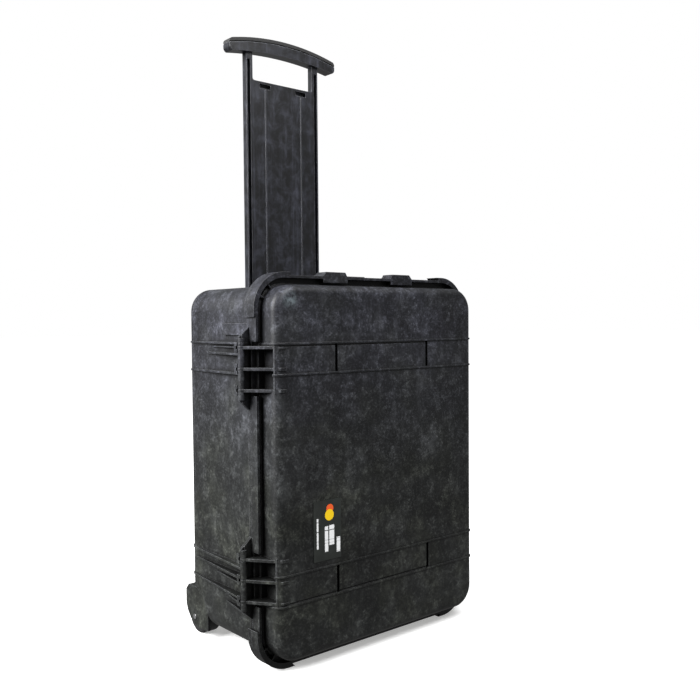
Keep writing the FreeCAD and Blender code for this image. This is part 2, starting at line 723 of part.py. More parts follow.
def build_label():
    """A blank label on the lid's face."""
    outline = [(size_of(-136), size_of(152)), (size_of(-86), size_of(152)),
               (size_of(-86), size_of(238)), (size_of(-136), size_of(238))]
    label = prism("label_plate", "XZ", outline, D["crown_face"] - 0.7, D["crown_face"], 2)
    return node(label, "lid_label")


def build_hinge_pins():
    """One steel pin for each hinge."""
    pins = []
    for level, z in hinge_centres():
        half = D["fin_pitch"] + 8
        pins.append(rod("hinge_pin_" + level, "Z", (D["hinge_x"], D["parting"]),
                        D["pin_radius"], z - half, z + half))
    return node(fuse("hinge_pin_pair", pins), "hinge_pins")


# ---------------------------------------------------------------- latches and padlock plates

LEVER_X = 211.0
LEVER_Y = -77.0


def build_latch(level, z):
    """One double-throw latch: a hook on the base and a pull lever on the hook."""
    half = D["hook_half"]
    outline = [(D["latch_x"] - 3.8, D["latch_y"]), (size_of(208.6), size_of(-80)),
               (size_of(210.2), SKIRT_FACE - 0.2), (size_of(205), SKIRT_FACE - 0.9),
               (size_of(205), SKIRT_FACE - 4.4), (size_of(214), SKIRT_FACE - 5.4),
               (size_of(215), SKIRT_FACE + 3), (size_of(214.8), size_of(-70)),
               (D["latch_x"] + 4.2, D["latch_y"])]
    arm = prism("hook_arm_" + level, "XY", outline, z - half, z + half)
    hub = rod("hook_hub_" + level, "Z", (D["latch_x"], D["latch_y"]), 4.5, z - half, z + half)
    relief = box("hook_relief_" + level, (200, D["parting"] - 12, z - 9),
                 (211.6, -52, z + 9))
    bores = [rod("hook_bore_" + level, "Z", (D["latch_x"], D["latch_y"]),
                 D["pin_radius"] + D["pin_clear"], z - 40, z + 40),
             rod("hook_lever_bore_" + level, "Z", (LEVER_X, LEVER_Y),
                 D["pin_radius"] + D["pin_clear"], z - 40, z + 40)]
    node(cut("hook_" + level, fuse("hook_solid_" + level, [arm, hub]), [relief] + bores),
         "latch_hook_" + level)

    cheek_in, cheek_out = half + 0.6, D["lever_half"]
    parts = [prism("lever_plate_" + level, "XY",
                   [(size_of(217.2), size_of(-74)), (size_of(221), size_of(-73)),
                    (size_of(222.5), size_of(-50)), (size_of(227.5), size_of(-39)),
                    (size_of(226), size_of(-36)), (size_of(220), size_of(-40)),
                    (size_of(218.2), size_of(-50))], z - cheek_out, z + cheek_out)]
    for side, sign in (("low", -1), ("high", 1)):
        low, high = sorted((cheek_in.value * sign, cheek_out.value * sign))
        cheek = prism("lever_cheek_%s_%s" % (level, side), "XY",
                      [(size_of(207.5), size_of(-80)), (size_of(211), size_of(-82)),
                       (size_of(215), size_of(-80)), (size_of(221), size_of(-73)),
                       (size_of(222.5), size_of(-50)), (size_of(218), size_of(-54)),
                       (size_of(208), size_of(-71))], z + low, z + high)
        parts.append(cheek)
    bore = rod("lever_bore_" + level, "Z", (LEVER_X, LEVER_Y), D["pin_radius"] + D["pin_clear"],
               z - 40, z + 40)
    node(cut("lever_" + level, fuse("lever_solid_" + level, parts), [bore]),
         "latch_lever_" + level)
    pin = rod("lever_pin_" + level, "Z", (LEVER_X, LEVER_Y), D["pin_radius"],
              z - cheek_out + 0.2, z + cheek_out - 0.2)
    node(pin, "latch_lever_pin_" + level)


def build_latch_pins():
    """The pins that hold both hooks to the base."""
    pins = [rod("hook_pin_" + level, "Z", (D["latch_x"], D["latch_y"]), D["pin_radius"],
                z - D["lever_half"], z + D["lever_half"]) for level, z in hinge_centres()]
    return node(fuse("hook_pin_pair", pins), "latch_base_pins")


def build_padlock_plates(label, start, end):
    """Steel plates on the outer faces of one shell's padlock tabs."""
    plates = []
    for level, z in padlock_centres():
        outline = [(size_of(209.5), z - 8.5), (size_of(221), z - 8.5), (size_of(221), z + 8.5),
                   (size_of(209.5), z + 8.5)]
        plates.append(prism("%s_%s" % (label, level), "XZ", outline, start, end))
    holed = cut(label + "_holed", fuse(label + "_pair", plates), padlock_drills(label))
    return node(holed, label)


# ---------------------------------------------------------------- carrying handles

def build_handle(prefix, span_half, at, turn):
    """A folding handle: stiff core, soft grip and two pins, made about its pivot and placed."""
    outer = span_half - 0.6
    inner = outer - 12
    bar = prism(prefix + "_bar", "YZ",
                [(size_of(29), size_of(-5)), (size_of(50), size_of(-5)),
                 (size_of(50), size_of(8)), (size_of(29), size_of(8))], -outer, outer, None)
    parts = [bar]
    for side, (start, end) in zip("ab", mirrored(inner, outer)):
        parts.append(prism("%s_arm_%s" % (prefix, side), "YZ",
                           [(size_of(0), size_of(-6)), (size_of(30), size_of(-5)),
                            (size_of(30), size_of(8)), (size_of(0), size_of(6))], start, end))
        parts.append(rod("%s_hub_%s" % (prefix, side), "X", (0, 0), 6.4, start, end))
    bore = rod(prefix + "_bore", "X", (0, 0), D["handle_pin"] + D["pin_clear"],
               -outer - 5, outer + 5)
    core = cut(prefix + "_core_solid", fuse(prefix + "_frame", parts), [bore])
    sleeve = prism(prefix + "_sleeve", "YZ",
                   [(size_of(27.5), size_of(-6.2)), (size_of(51.5), size_of(-6.2)),
                    (size_of(51.5), size_of(9.8)), (size_of(27.5), size_of(9.8))],
                   -inner + 3, inner - 3, 4)
    sleeve_bore = box(prefix + "_sleeve_bore", (-span_half, 29, -5), (span_half, 50, 8))
    grip = cut(prefix + "_grip_solid", sleeve, [sleeve_bore])
    pins = []
    for side, (start, end) in zip("ab", mirrored(inner + 1, span_half + 9)):
        pins.append(rod("%s_pin_%s" % (prefix, side), "X", (0, 0), D["handle_pin"], start, end))
    pin_pair = fuse(prefix + "_pin_pair", pins)
    for solid, label in ((core, "_core"), (grip, "_grip"), (pin_pair, "_pins")):
        solid.Placement = FreeCAD.Placement(at, turn)
        node(solid, prefix + label)


# ---------------------------------------------------------------- pressure valve

def build_valve():
    """The pressure-equalising valve through the latch-side wall."""
    centre = (VALVE_Y, VALVE_Z)
    stem = rod("valve_stem", "X", centre, 8.5, 182, 200.6)
    vent = rod("valve_vent", "X", centre, 4.5, 181, 198)
    node(cut("valve_stem_bored", stem, [vent]), "valve_body")
    seal = cut("valve_seal_ring", rod("valve_seal_disc", "X", centre, 13.5, 199.5, 200.6),
               [rod("valve_seal_bore", "X", centre, 8.7, 198, 202)])
    node(seal, "valve_seal")
    cap = rod("valve_cap_disc", "X", centre, 15, 200.6, 207)
    notches = []
    for index in range(6):
        way = math.radians(60 * index)
        y = VALVE_Y + 15.5 * math.cos(way)
        z = VALVE_Z + 15.5 * math.sin(way)
        notches.append(rod("valve_notch_%d" % index, "X", (y, z), 3, 202.4, 208))
    notches.append(rod("valve_dish", "X", centre, 9, 205.6, 208))
    node(cut("valve_cap_solid", cap, notches), "valve_cap")
    nut = prism("valve_nut_hex", "YZ",
                [(size_of(VALVE_Y + 14 * math.cos(math.radians(60 * index))),
                  size_of(VALVE_Z + 14 * math.sin(math.radians(60 * index))))
                 for index in range(6)], 182.5, 187.9)
    node(cut("valve_nut_bored", nut, [rod("valve_nut_bore", "X", centre, 8.55, 180, 190)]),
         "valve_nut")


# ---------------------------------------------------------------- trolley

SLOT_LOW, SLOT_HIGH = 881.5, 889.0
SLOT_IN, SLOT_OUT = 26.0, 48.0
ARCH_CENTRE = D["grip_top"] - D["grip_arch"]
UNDER_CENTRE = D["grip_top"] - D["grip_high"] - D["grip_under"]
ARCH_SEAM = D["grip_arch"] - D["grip_cap"]


def build_trolley_plate():
    """The sliding plate with its edge grooves, ridges, catch slots, window and rear ribs."""
    half, front, back = D["trolley_half"], D["trolley_front"], D["trolley_back"]
    foot = D["trolley_foot"]
    outline = [(-half, foot), (half, foot), (half, size_of(945)), (-half, size_of(945))]
    blank = prism("trolley_blank", "XZ", outline, front, back)
    limit = rod("trolley_arch", "Y", (0, UNDER_CENTRE), D["grip_under"], front - 1, back + 1)
    plate = common("trolley_outline", [blank, limit])
    ridges = [box("ridge_" + side, (start, front - 1, foot + 30), (end, front + 1, 880))
              for side, (start, end) in zip(("left", "right"), mirrored(36, 38))]
    window = [(-D["window_half"], D["window_foot"]), (D["window_half"], D["window_foot"]),
              (D["window_half"], size_of(965)), (-D["window_half"], size_of(965))]
    cuts = [prism("trolley_window", "XZ", window, front - 2, back + 2, 4)]
    for side, (start, end) in zip(("left", "right"), mirrored(half - 8, half - 2)):
        cuts.append(box("edge_groove_" + side, (start, front - 1, foot - 1),
                        (end, front + 8.5, 926)))
    for side, (start, end) in zip(("left", "right"), mirrored(SLOT_IN, SLOT_OUT)):
        for level, shift in (("upper", 0), ("lower", D["trolley_travel"])):
            cuts.append(box("catch_slot_%s_%s" % (level, side),
                            (start, front - 2, SLOT_LOW - size_of(shift)),
                            (end, front + 7, SLOT_HIGH - size_of(shift))))
    bays, bay_foot, bay_rib = 5, 508.0, 4.0
    bay_high = (878.0 - bay_foot) / bays
    for index in range(bays):
        low = bay_foot + bay_high * index
        for side, (start, end) in zip(("left", "right"), mirrored(2, 63)):
            cuts.append(box("rear_bay_%d_%s" % (index, side), (start, front + 4, low),
                            (end, back + 1, low + bay_high - bay_rib)))
    solid = fuse("trolley_plate_blank", [plate] + ridges)
    return node(cut("trolley_plate_solid", solid, cuts), "trolley_plate")


def grip_keep(name, front, back):
    """The space within the grip's rounded ends."""
    half = D["grip_half"]
    outline = [(-half, size_of(931.3)), (size_of(-60), size_of(935.5)),
               (size_of(60), size_of(935.5)), (half, size_of(931.3)), (half, size_of(951.5)),
               (size_of(60), size_of(963)), (size_of(0), size_of(969)),
               (size_of(-60), size_of(963)), (-half, size_of(951.5))]
    return prism(name, "XZ", outline, front, back, 7)


def arch_ring(name, inner, outer, front, back):
    """A stretch of the grip's upper arch between two radii."""
    disc = rod(name + "_disc", "Y", (0, ARCH_CENTRE), outer, front, back)
    core = rod(name + "_core", "Y", (0, ARCH_CENTRE), inner, front - 1, back + 1)
    return cut(name + "_ring", disc, [core])


def seam_cuts(name, front, back):
    """The narrow groove round the joint between grip and cap, on both faces."""
    return [arch_ring(name + "_front", ARCH_SEAM - 0.9, ARCH_SEAM + 0.9, front - 1, front + 1.4),
            arch_ring(name + "_back", ARCH_SEAM - 0.9, ARCH_SEAM + 0.9, back - 1.4, back + 1)]


def build_trolley_grip():
    """The arched grip and the soft cap along its top."""
    front, back = D["trolley_front"] - 5.5, D["trolley_back"] + 3.5
    under = rod("grip_under_disc", "Y", (0, UNDER_CENTRE), D["grip_under"], front - 1, back + 1)
    below = rod("grip_seam_disc", "Y", (0, ARCH_CENTRE), ARCH_SEAM, front, back)
    lower = common("grip_lower", [below, grip_keep("grip_keep", front, back)])
    node(cut("trolley_grip_solid", lower, [under] + seam_cuts("grip_seam", front, back)),
         "trolley_grip")
    ring = arch_ring("cap_arch", ARCH_SEAM, D["grip_arch"], front, back)
    upper = common("grip_upper", [ring, grip_keep("cap_keep", front, back)])
    node(cut("trolley_cap_solid", upper, seam_cuts("cap_seam", front, back)),
         "trolley_grip_cap")


def build_trolley_pads():
    """Slide pads on the foot of the plate; they stop it against the guide's bushes."""
    pads = [box("slide_pad_" + side, (start, 107.1, D["trolley_foot"] + 4),
                (end, D["trolley_front"], D["trolley_foot"] + 24))
            for side, (start, end) in zip(("left", "right"), mirrored(50, 61))]
    return node(fuse("slide_pad_pair", pads), "trolley_slide_pads")


GUIDE_LOW, GUIDE_HIGH = 80.0, 536.0
GUIDE_FLOOR = D["base_back"] + 3
GUIDE_SCREWS = [(65, 100), (65, 300), (65, 528)]


def build_guide():
    """The channel on the base's back: floor, side rails whose lips run in the plate's grooves."""
    half = D["trolley_half"]
    parts = [box("guide_floor", (-84, D["base_back"], GUIDE_LOW), (84, GUIDE_FLOOR, GUIDE_HIGH)),
             box("guide_stop", (-half - 8, GUIDE_FLOOR - 1, GUIDE_LOW),
                 (half + 8, D["back_reach"] - 1, GUIDE_LOW + 4))]
    for side, (start, end) in zip(("left", "right"), mirrored(half + 0.8, half + 8)):
        parts.append(box("guide_rail_" + side, (start, GUIDE_FLOOR - 1, GUIDE_LOW),
                         (end, D["back_reach"], GUIDE_HIGH)))
    for side, (start, end) in zip(("left", "right"), mirrored(half - 7, half + 1)):
        parts.append(box("guide_lip_" + side, (start, D["trolley_back"] + 0.6, GUIDE_LOW),
                         (end, D["back_reach"], GUIDE_HIGH)))
    for side, (start, end) in zip(("left", "right"), mirrored(50, 54)):
        ear = prism("catch_ear_" + side, "YZ",
                    [(GUIDE_FLOOR - 1, D["catch_z"] - 8), (D["catch_y"] + 2, D["catch_z"] - 4),
                     (D["catch_y"] + 4, D["catch_z"]), (D["catch_y"] + 2, D["catch_z"] + 4),
                     (GUIDE_FLOOR - 1, D["catch_z"] + 8)], start, end)
        parts.append(ear)
    cuts = [rod("catch_ear_bore", "X", (D["catch_y"], D["catch_z"]), 1.55, -60, 60)]
    for side in (-1, 1):
        for x, z in GUIDE_SCREWS:
            cuts.append(rod("guide_screw_hole_%d_%d" % (side + 1, z), "Y", (x * side, z), 2.1,
                            100, 110))
    return node(cut("guide_solid", fuse("guide_blank", parts), cuts), "trolley_guide")


def screw(name, x, z, head, shank, head_y, tip_y):
    """A pan-head screw driven along -Y, with a drive recess."""
    body = fuse(name + "_blank",
                [rod(name + "_head", "Y", (x, z), head, head_y, size_of(head_y) + 2),
                 rod(name + "_shank", "Y", (x, z), shank, tip_y, head_y)])
    recess = rod(name + "_recess", "Y", (x, z), head * 0.4, size_of(head_y) + 1, size_of(head_y) + 3)
    return cut(name, body, [recess])


def build_guide_screws():
    """Six screws through the guide's floor."""
    screws = []
    for side in (-1, 1):
        for x, z in GUIDE_SCREWS:
            screws.append(screw("guide_screw_%d_%d" % (side + 1, z), x * side, z, 3.2, 2.05,
                                GUIDE_FLOOR, D["base_back"]))
    return node(fuse("guide_screw_set", screws), "guide_screws")


def build_guide_bushes():
    """Bushes at the top of the guide that carry the plate's front."""
    pads = [box("guide_bush_" + side, (start, GUIDE_FLOOR, 497.5), (end, 116.5, 517))
            for side, (start, end) in zip(("left", "right"), mirrored(50, 61))]
    return node(fuse("guide_bush_pair", pads), "guide_bushes")


def build_catch():
    """The trolley's release catch, its pin and its leaf spring."""
    y, z = D["catch_y"], D["catch_z"]
    parts = [rod("catch_hub", "X", (y, z), 3.2, -49.4, 49.4),
             box("catch_arm", (-49, y - 1.8, z - 30), (49, y + 1.8, z)),
             box("catch_tab", (-26, y - 2, z), (26, y + 1.6, z + 26))]
    for side, (start, end) in zip(("left", "right"), mirrored(39.5, 46.5)):
        parts.append(box("catch_tooth_" + side, (start, y, SLOT_LOW - D["trolley_travel"] + 1),
                         (end, D["trolley_front"] - 0.6, SLOT_LOW - D["trolley_travel"] + 4)))
    bore = rod("catch_bore", "X", (y, z), 1.55, -60, 60)
    node(cut("catch_solid", fuse("catch_blank", parts), [bore]), "trolley_catch")
    node(rod("catch_pin_rod", "X", (y, z), 1.5, -53.8, 53.8), "catch_pin")
    leaf = prism("catch_leaf", "YZ",
                 [(GUIDE_FLOOR, size_of(460)), (GUIDE_FLOOR + 0.6, size_of(460)),
                  (GUIDE_FLOOR + 0.6, size_of(480)), (y - 2.4, size_of(499)),
                  (y - 3.0, size_of(499.6)), (GUIDE_FLOOR, size_of(481))], -7, 7)
    node(leaf, "catch_spring")


# ---------------------------------------------------------------- wheels

HOUSING_OUT = 192.0
CHEEK = [(64, 14), (64, 58), (77, 70), (92, 75), (122, 75), (130.5, 66), (130.5, 44),
         (126, 32), (117, 22), (105, 15), (92, 12)]
WHEEL_Z = D["wheel_radius"]


def side_span(sign, low, high):
    """An x span on the left (-1) or right (1) side, in rising order."""
    low, high = size_of(low), size_of(high)
    return (low, high) if sign > 0 else (-high, -low)


def build_wheel(side, sign):
    """One wheel with its housing and axle."""
    centre = (D["wheel_y"], WHEEL_Z)
    points = [(size_of(y), size_of(z)) for y, z in CHEEK]
    outer = prism("cheek_out_" + side, "YZ", points, *side_span(sign, 188, HOUSING_OUT))
    inner = prism("cheek_in_" + side, "YZ", points, *side_span(sign, 153, 156.5))
    roof = [(64, 30), (64, 58), (77, 70), (92, 75), (122, 75), (122, 71.5), (93, 71.5),
            (79, 66.5), (67.5, 56), (67.5, 30)]
    shell = prism("roof_" + side, "YZ", [(size_of(y), size_of(z)) for y, z in roof],
                  *side_span(sign, 153, 190))
    plate_span = side_span(sign, 98, 154)
    plate = box("housing_plate_" + side, (plate_span[0], D["base_back"], 42),
                (plate_span[1], D["base_back"] + 4, 75))
    drills = [rod("axle_bore_" + side, "X", centre, D["axle_radius"] + 0.03,
                  *side_span(sign, 140, 200))]
    for x, z in HOUSING_SCREWS:
        drills.append(rod("housing_hole_%s_%d_%d" % (side, x, z), "Y", (x * sign, z), 2.45,
                          100, 112))
    solid = fuse("housing_blank_" + side, [outer, inner, shell, plate])
    node(cut("housing_" + side, solid, drills), "wheel_housing_" + side)

    shaft = rod("axle_shaft_" + side, "X", centre, D["axle_radius"], *side_span(sign, 150, 192))
    head = rod("axle_head_" + side, "X", centre, 4.0, *side_span(sign, 192, 193.2))
    node(fuse("axle_" + side + "_solid", [shaft, head]), "wheel_axle_" + side)

    tyre_disc = prism_disc("tyre_disc_" + side, centre, D["wheel_radius"], 4,
                           side_span(sign, D["wheel_in"], D["wheel_out"]))
    tyre_bore = rod("tyre_bore_" + side, "X", centre, 19.5, *side_span(sign, 150, 192))
    node(cut("tyre_" + side, tyre_disc, [tyre_bore]), "wheel_tyre_" + side)

    span_x = side_span(sign, D["wheel_in"] + 1, D["wheel_out"] - 1)
    hub_disc = rod("hub_disc_" + side, "X", centre, 19.5, *span_x)
    hub_cuts = [rod("hub_bore_" + side, "X", centre, 6.5, *side_span(sign, 150, 192))]
    for face, (low, high) in (("in", (159, 168)), ("out", (178, 187))):
        ring = rod("hub_dish_%s_%s" % (face, side), "X", centre, 16.5,
                   *side_span(sign, low, high))
        boss = rod("hub_boss_%s_%s" % (face, side), "X", centre, 9, *side_span(sign, low, high))
        hub_cuts.append(cut("hub_recess_%s_%s" % (face, side), ring, [boss]))
    for index in range(5):
        way = math.radians(72 * index + 18)
        place = (D["wheel_y"] + 12.8 * math.cos(way), WHEEL_Z + 12.8 * math.sin(way))
        hub_cuts.append(rod("hub_hole_%d_%s" % (index, side), "X", place, 2.6,
                            *side_span(sign, 164, 182)))
    node(cut("hub_" + side, hub_disc, hub_cuts), "wheel_hub_" + side)
    bush = cut("bush_" + side, rod("bush_disc_" + side, "X", centre, 6.5, *span_x),
               [rod("bush_bore_" + side, "X", centre, D["axle_radius"] + D["pin_clear"],
                    *side_span(sign, 150, 192))])
    node(bush, "wheel_bush_" + side)


def prism_disc(name, centre, radius, edge_radius, span_x):
    """A disc along X with both rims rounded."""
    disc = rod(name + "_blank", "X", centre, radius, *span_x)
    doc.recompute()
    rounded = doc.addObject("Part::Fillet", name)
    rounded.Base = disc
    circles = [at for at, edge in enumerate(disc.Shape.Edges, start=1)
               if len(edge.Vertexes) == 1]
    rounded.Edges = [(at, edge_radius, edge_radius) for at in circles]
    return rounded


def build_housing_screws():
    """Four screws for each wheel housing."""
    screws = []
    for sign in (-1, 1):
        for x, z in HOUSING_SCREWS:
            screws.append(screw("housing_screw_%d_%d_%d" % (sign + 1, x, z), x * sign, z, 4.2, 2.4,
                                D["base_back"] + 4, 100))
    return node(fuse("housing_screw_set", screws), "housing_screws")


# ---------------------------------------------------------------- foam

# name: (x low, x high, z low, z high, y of the bottom, corner radius)
POCKETS = {
    "drone_pocket": (-158, 70, 318, 512, 24, 26),
    "controller_pocket": (-158, -6, 176, 290, 2, 22),
    "charger_pocket": (-158, -60, 96, 152, -10, 12),
    "battery_pocket_a": (26, 62, 96, 216, 10, 6),
    "battery_pocket_b": (76, 112, 96, 216, 10, 6),
    "battery_pocket_c": (126, 162, 96, 216, 10, 6),
    "propeller_pocket": (94, 160, 318, 512, -20, 14),
}


# The tray is glued up from blocks of foam, one or two for each pocket.
TRAY_CELLS = {
    "drone_left": (None, -44, None, None, 304, None),
    "drone_right": (-44, 82, None, None, 304, None),
    "propeller": (82, None, None, None, 304, None),
    "controller_left": (None, -82, None, None, 164, 304),
    "controller_right": (-82, 10, None, None, 164, 304),
    "charger": (None, 10, None, None, None, 164),
    "battery_a": (10, 69, None, None, None, 304),
    "battery_b": (69, 119, None, None, None, 304),
    "battery_c": (119, None, None, None, None, 304),
}


def foam_cuts(name):
    """Blocks that keep the foam off the wheel wells and the valve."""
    blocks = []
    for side, (start, end) in zip(("left", "right"), mirrored(D["well_x"] - 6, 230)):
        blocks.append(box("%s_well_%s" % (name, side), (start, 51, 0), (end, 110, 85)))
    return blocks


def foam_block(name, start, end, half, margin):
    """A rounded block of foam across the cavity."""
    return slab(name, half, margin, start, end, 32)


def build_foam():
    """Lid foam, the drone's tray with its pockets, and the pad under it."""
    node(foam_block("lid_foam_block", D["crown_face"] + 9, -90, 184, 28), "foam_lid")
    tray = foam_block("tray_block", D["tray_front"], D["tray_back"], 191, 26)
    cuts = foam_cuts("tray")
    cuts.append(rod("tray_valve", "X", (VALVE_Y, VALVE_Z), 20, 178, 200))
    for name, (x0, x1, z0, z1, bottom, corner) in POCKETS.items():
        outline = [(size_of(x0), size_of(z0)), (size_of(x1), size_of(z0)),
                   (size_of(x1), size_of(z1)), (size_of(x0), size_of(z1))]
        cuts.append(prism(name, "XZ", outline, D["tray_front"] - 5, bottom, corner))
    node(parted("tray_blocks", cut("tray_solid", tray, cuts), TRAY_CELLS), "foam_tray")
    pad = foam_block("floor_block", D["tray_back"] + 0.5, 94, 186, 34)
    node(cut("floor_solid", pad, foam_cuts("floor")), "foam_floor")


# ---------------------------------------------------------------- build and write

def build_all():
    """Build every sub-part."""
    build_base()
    build_lid()
    build_gasket()
    build_label()
    build_hinge_pins()
    for level, z in hinge_centres():
        build_latch(level, z)
    build_latch_pins()
    build_padlock_plates("padlock_plates_base", FLANGE_BACK, FLANGE_BACK + 1.2)
    build_padlock_plates("padlock_plates_lid", LID_FLANGE - 1.2, LID_FLANGE)
    build_handle("top_handle", TOP_SPAN, TOP_PIVOT, TOP_TURN)
    build_handle("side_handle", SIDE_SPAN, SIDE_PIVOT, SIDE_TURN)
    build_valve()
    build_trolley_plate()
    build_trolley_grip()
    build_trolley_pads()
    build_guide()
    build_guide_screws()
    build_guide_bushes()
    build_catch()
    build_wheel("left", -1)
    build_wheel("right", 1)
    build_housing_screws()
    build_foam()


def check_all():
    """Stop on any failed object or unusable shape."""
    for item in doc.Objects:
        if "Invalid" in item.State or "Error" in item.State:
            raise RuntimeError("%s failed: %s" % (item.Name, item.State))
    for item in NODES:
        shape = item.Shape
        if shape.isNull() or not shape.isValid() or not shape.Solids:
            raise RuntimeError("%s has no usable solid" % item.Label)


def write_all():
    """Write each sub-part to its own STEP file."""
    os.makedirs("parts", exist_ok=True)
    for item in NODES:
        item.Shape.exportStep("parts/%s.step" % item.Label)
        print("%-26s %9.1f cm3 %d solid(s)" % (item.Label, item.Shape.Volume / 1000,
                                               len(item.Shape.Solids)))


build_all()
doc.recompute()
check_all()
write_all()
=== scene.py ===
"""A wheeled hard case for a folding drone, closed and standing with its trolley handle out."""

from __future__ import annotations

import json
import logging
import math
from dataclasses import dataclass, field
from enum import Enum
from typing import Any

import bpy
from mathutils import Matrix, Vector

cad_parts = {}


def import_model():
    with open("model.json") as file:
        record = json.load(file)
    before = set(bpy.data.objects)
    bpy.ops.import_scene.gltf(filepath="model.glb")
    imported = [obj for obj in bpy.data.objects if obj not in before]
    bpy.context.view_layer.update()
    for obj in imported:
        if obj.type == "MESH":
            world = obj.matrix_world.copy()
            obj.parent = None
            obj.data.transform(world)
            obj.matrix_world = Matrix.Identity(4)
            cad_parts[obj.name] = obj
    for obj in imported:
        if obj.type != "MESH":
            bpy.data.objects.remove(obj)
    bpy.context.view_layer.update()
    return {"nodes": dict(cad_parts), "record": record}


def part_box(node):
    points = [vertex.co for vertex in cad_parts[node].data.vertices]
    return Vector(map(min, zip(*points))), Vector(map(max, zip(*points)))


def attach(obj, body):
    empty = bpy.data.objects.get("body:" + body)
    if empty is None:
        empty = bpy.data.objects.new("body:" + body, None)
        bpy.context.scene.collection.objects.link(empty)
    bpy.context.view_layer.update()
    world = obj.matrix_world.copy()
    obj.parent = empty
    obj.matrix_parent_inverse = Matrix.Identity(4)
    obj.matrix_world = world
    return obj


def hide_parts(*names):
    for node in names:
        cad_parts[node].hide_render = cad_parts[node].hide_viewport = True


LOG = logging.getLogger("drone_case")
Triple = tuple[float, float, float]
Span = tuple[float, float]


# ---------------------------------------------------------------- shader tools


class Value:
    """A number that changes over a surface, used in ordinary sums."""

    def __init__(self, graph: "Graph", socket: Any) -> None:
        """Args: graph: the material it belongs to. socket: the output that gives it."""
        self.graph = graph
        self.socket = socket

    def _maths(self, operation: str, *terms: Any) -> "Value":
        """Add one Math node.

        Args: operation: its operation. terms: its inputs in order.
        Returns: its result.
        """
        made = self.graph.node("ShaderNodeMath", {"operation": operation}, dict(enumerate(terms)))
        return Value(self.graph, made.outputs[0])

    def __add__(self, other: Any) -> "Value":
        """Sum."""
        return self._maths("ADD", self, other)

    def __sub__(self, other: Any) -> "Value":
        """Difference."""
        return self._maths("SUBTRACT", self, other)

    def __rsub__(self, other: Any) -> "Value":
        """Reflected difference."""
        return self._maths("SUBTRACT", other, self)

    def __mul__(self, other: Any) -> "Value":
        """Product."""
        return self._maths("MULTIPLY", self, other)

    __radd__ = __add__
    __rmul__ = __mul__

    def power(self, exponent: float) -> "Value":
        """Raise to a power."""
        return self._maths("POWER", self, exponent)

    def smaller(self, other: Any) -> "Value":
        """The smaller of two."""
        return self._maths("MINIMUM", self, other)

    def ramp(self, low: float, high: float) -> "Value":
        """0 at low, 1 at high, smooth between."""
        made = self.graph.node(
            "ShaderNodeMapRange", {"interpolation_type": "SMOOTHSTEP"}, {0: self, 1: low, 2: high})
        return Value(self.graph, made.outputs[0])


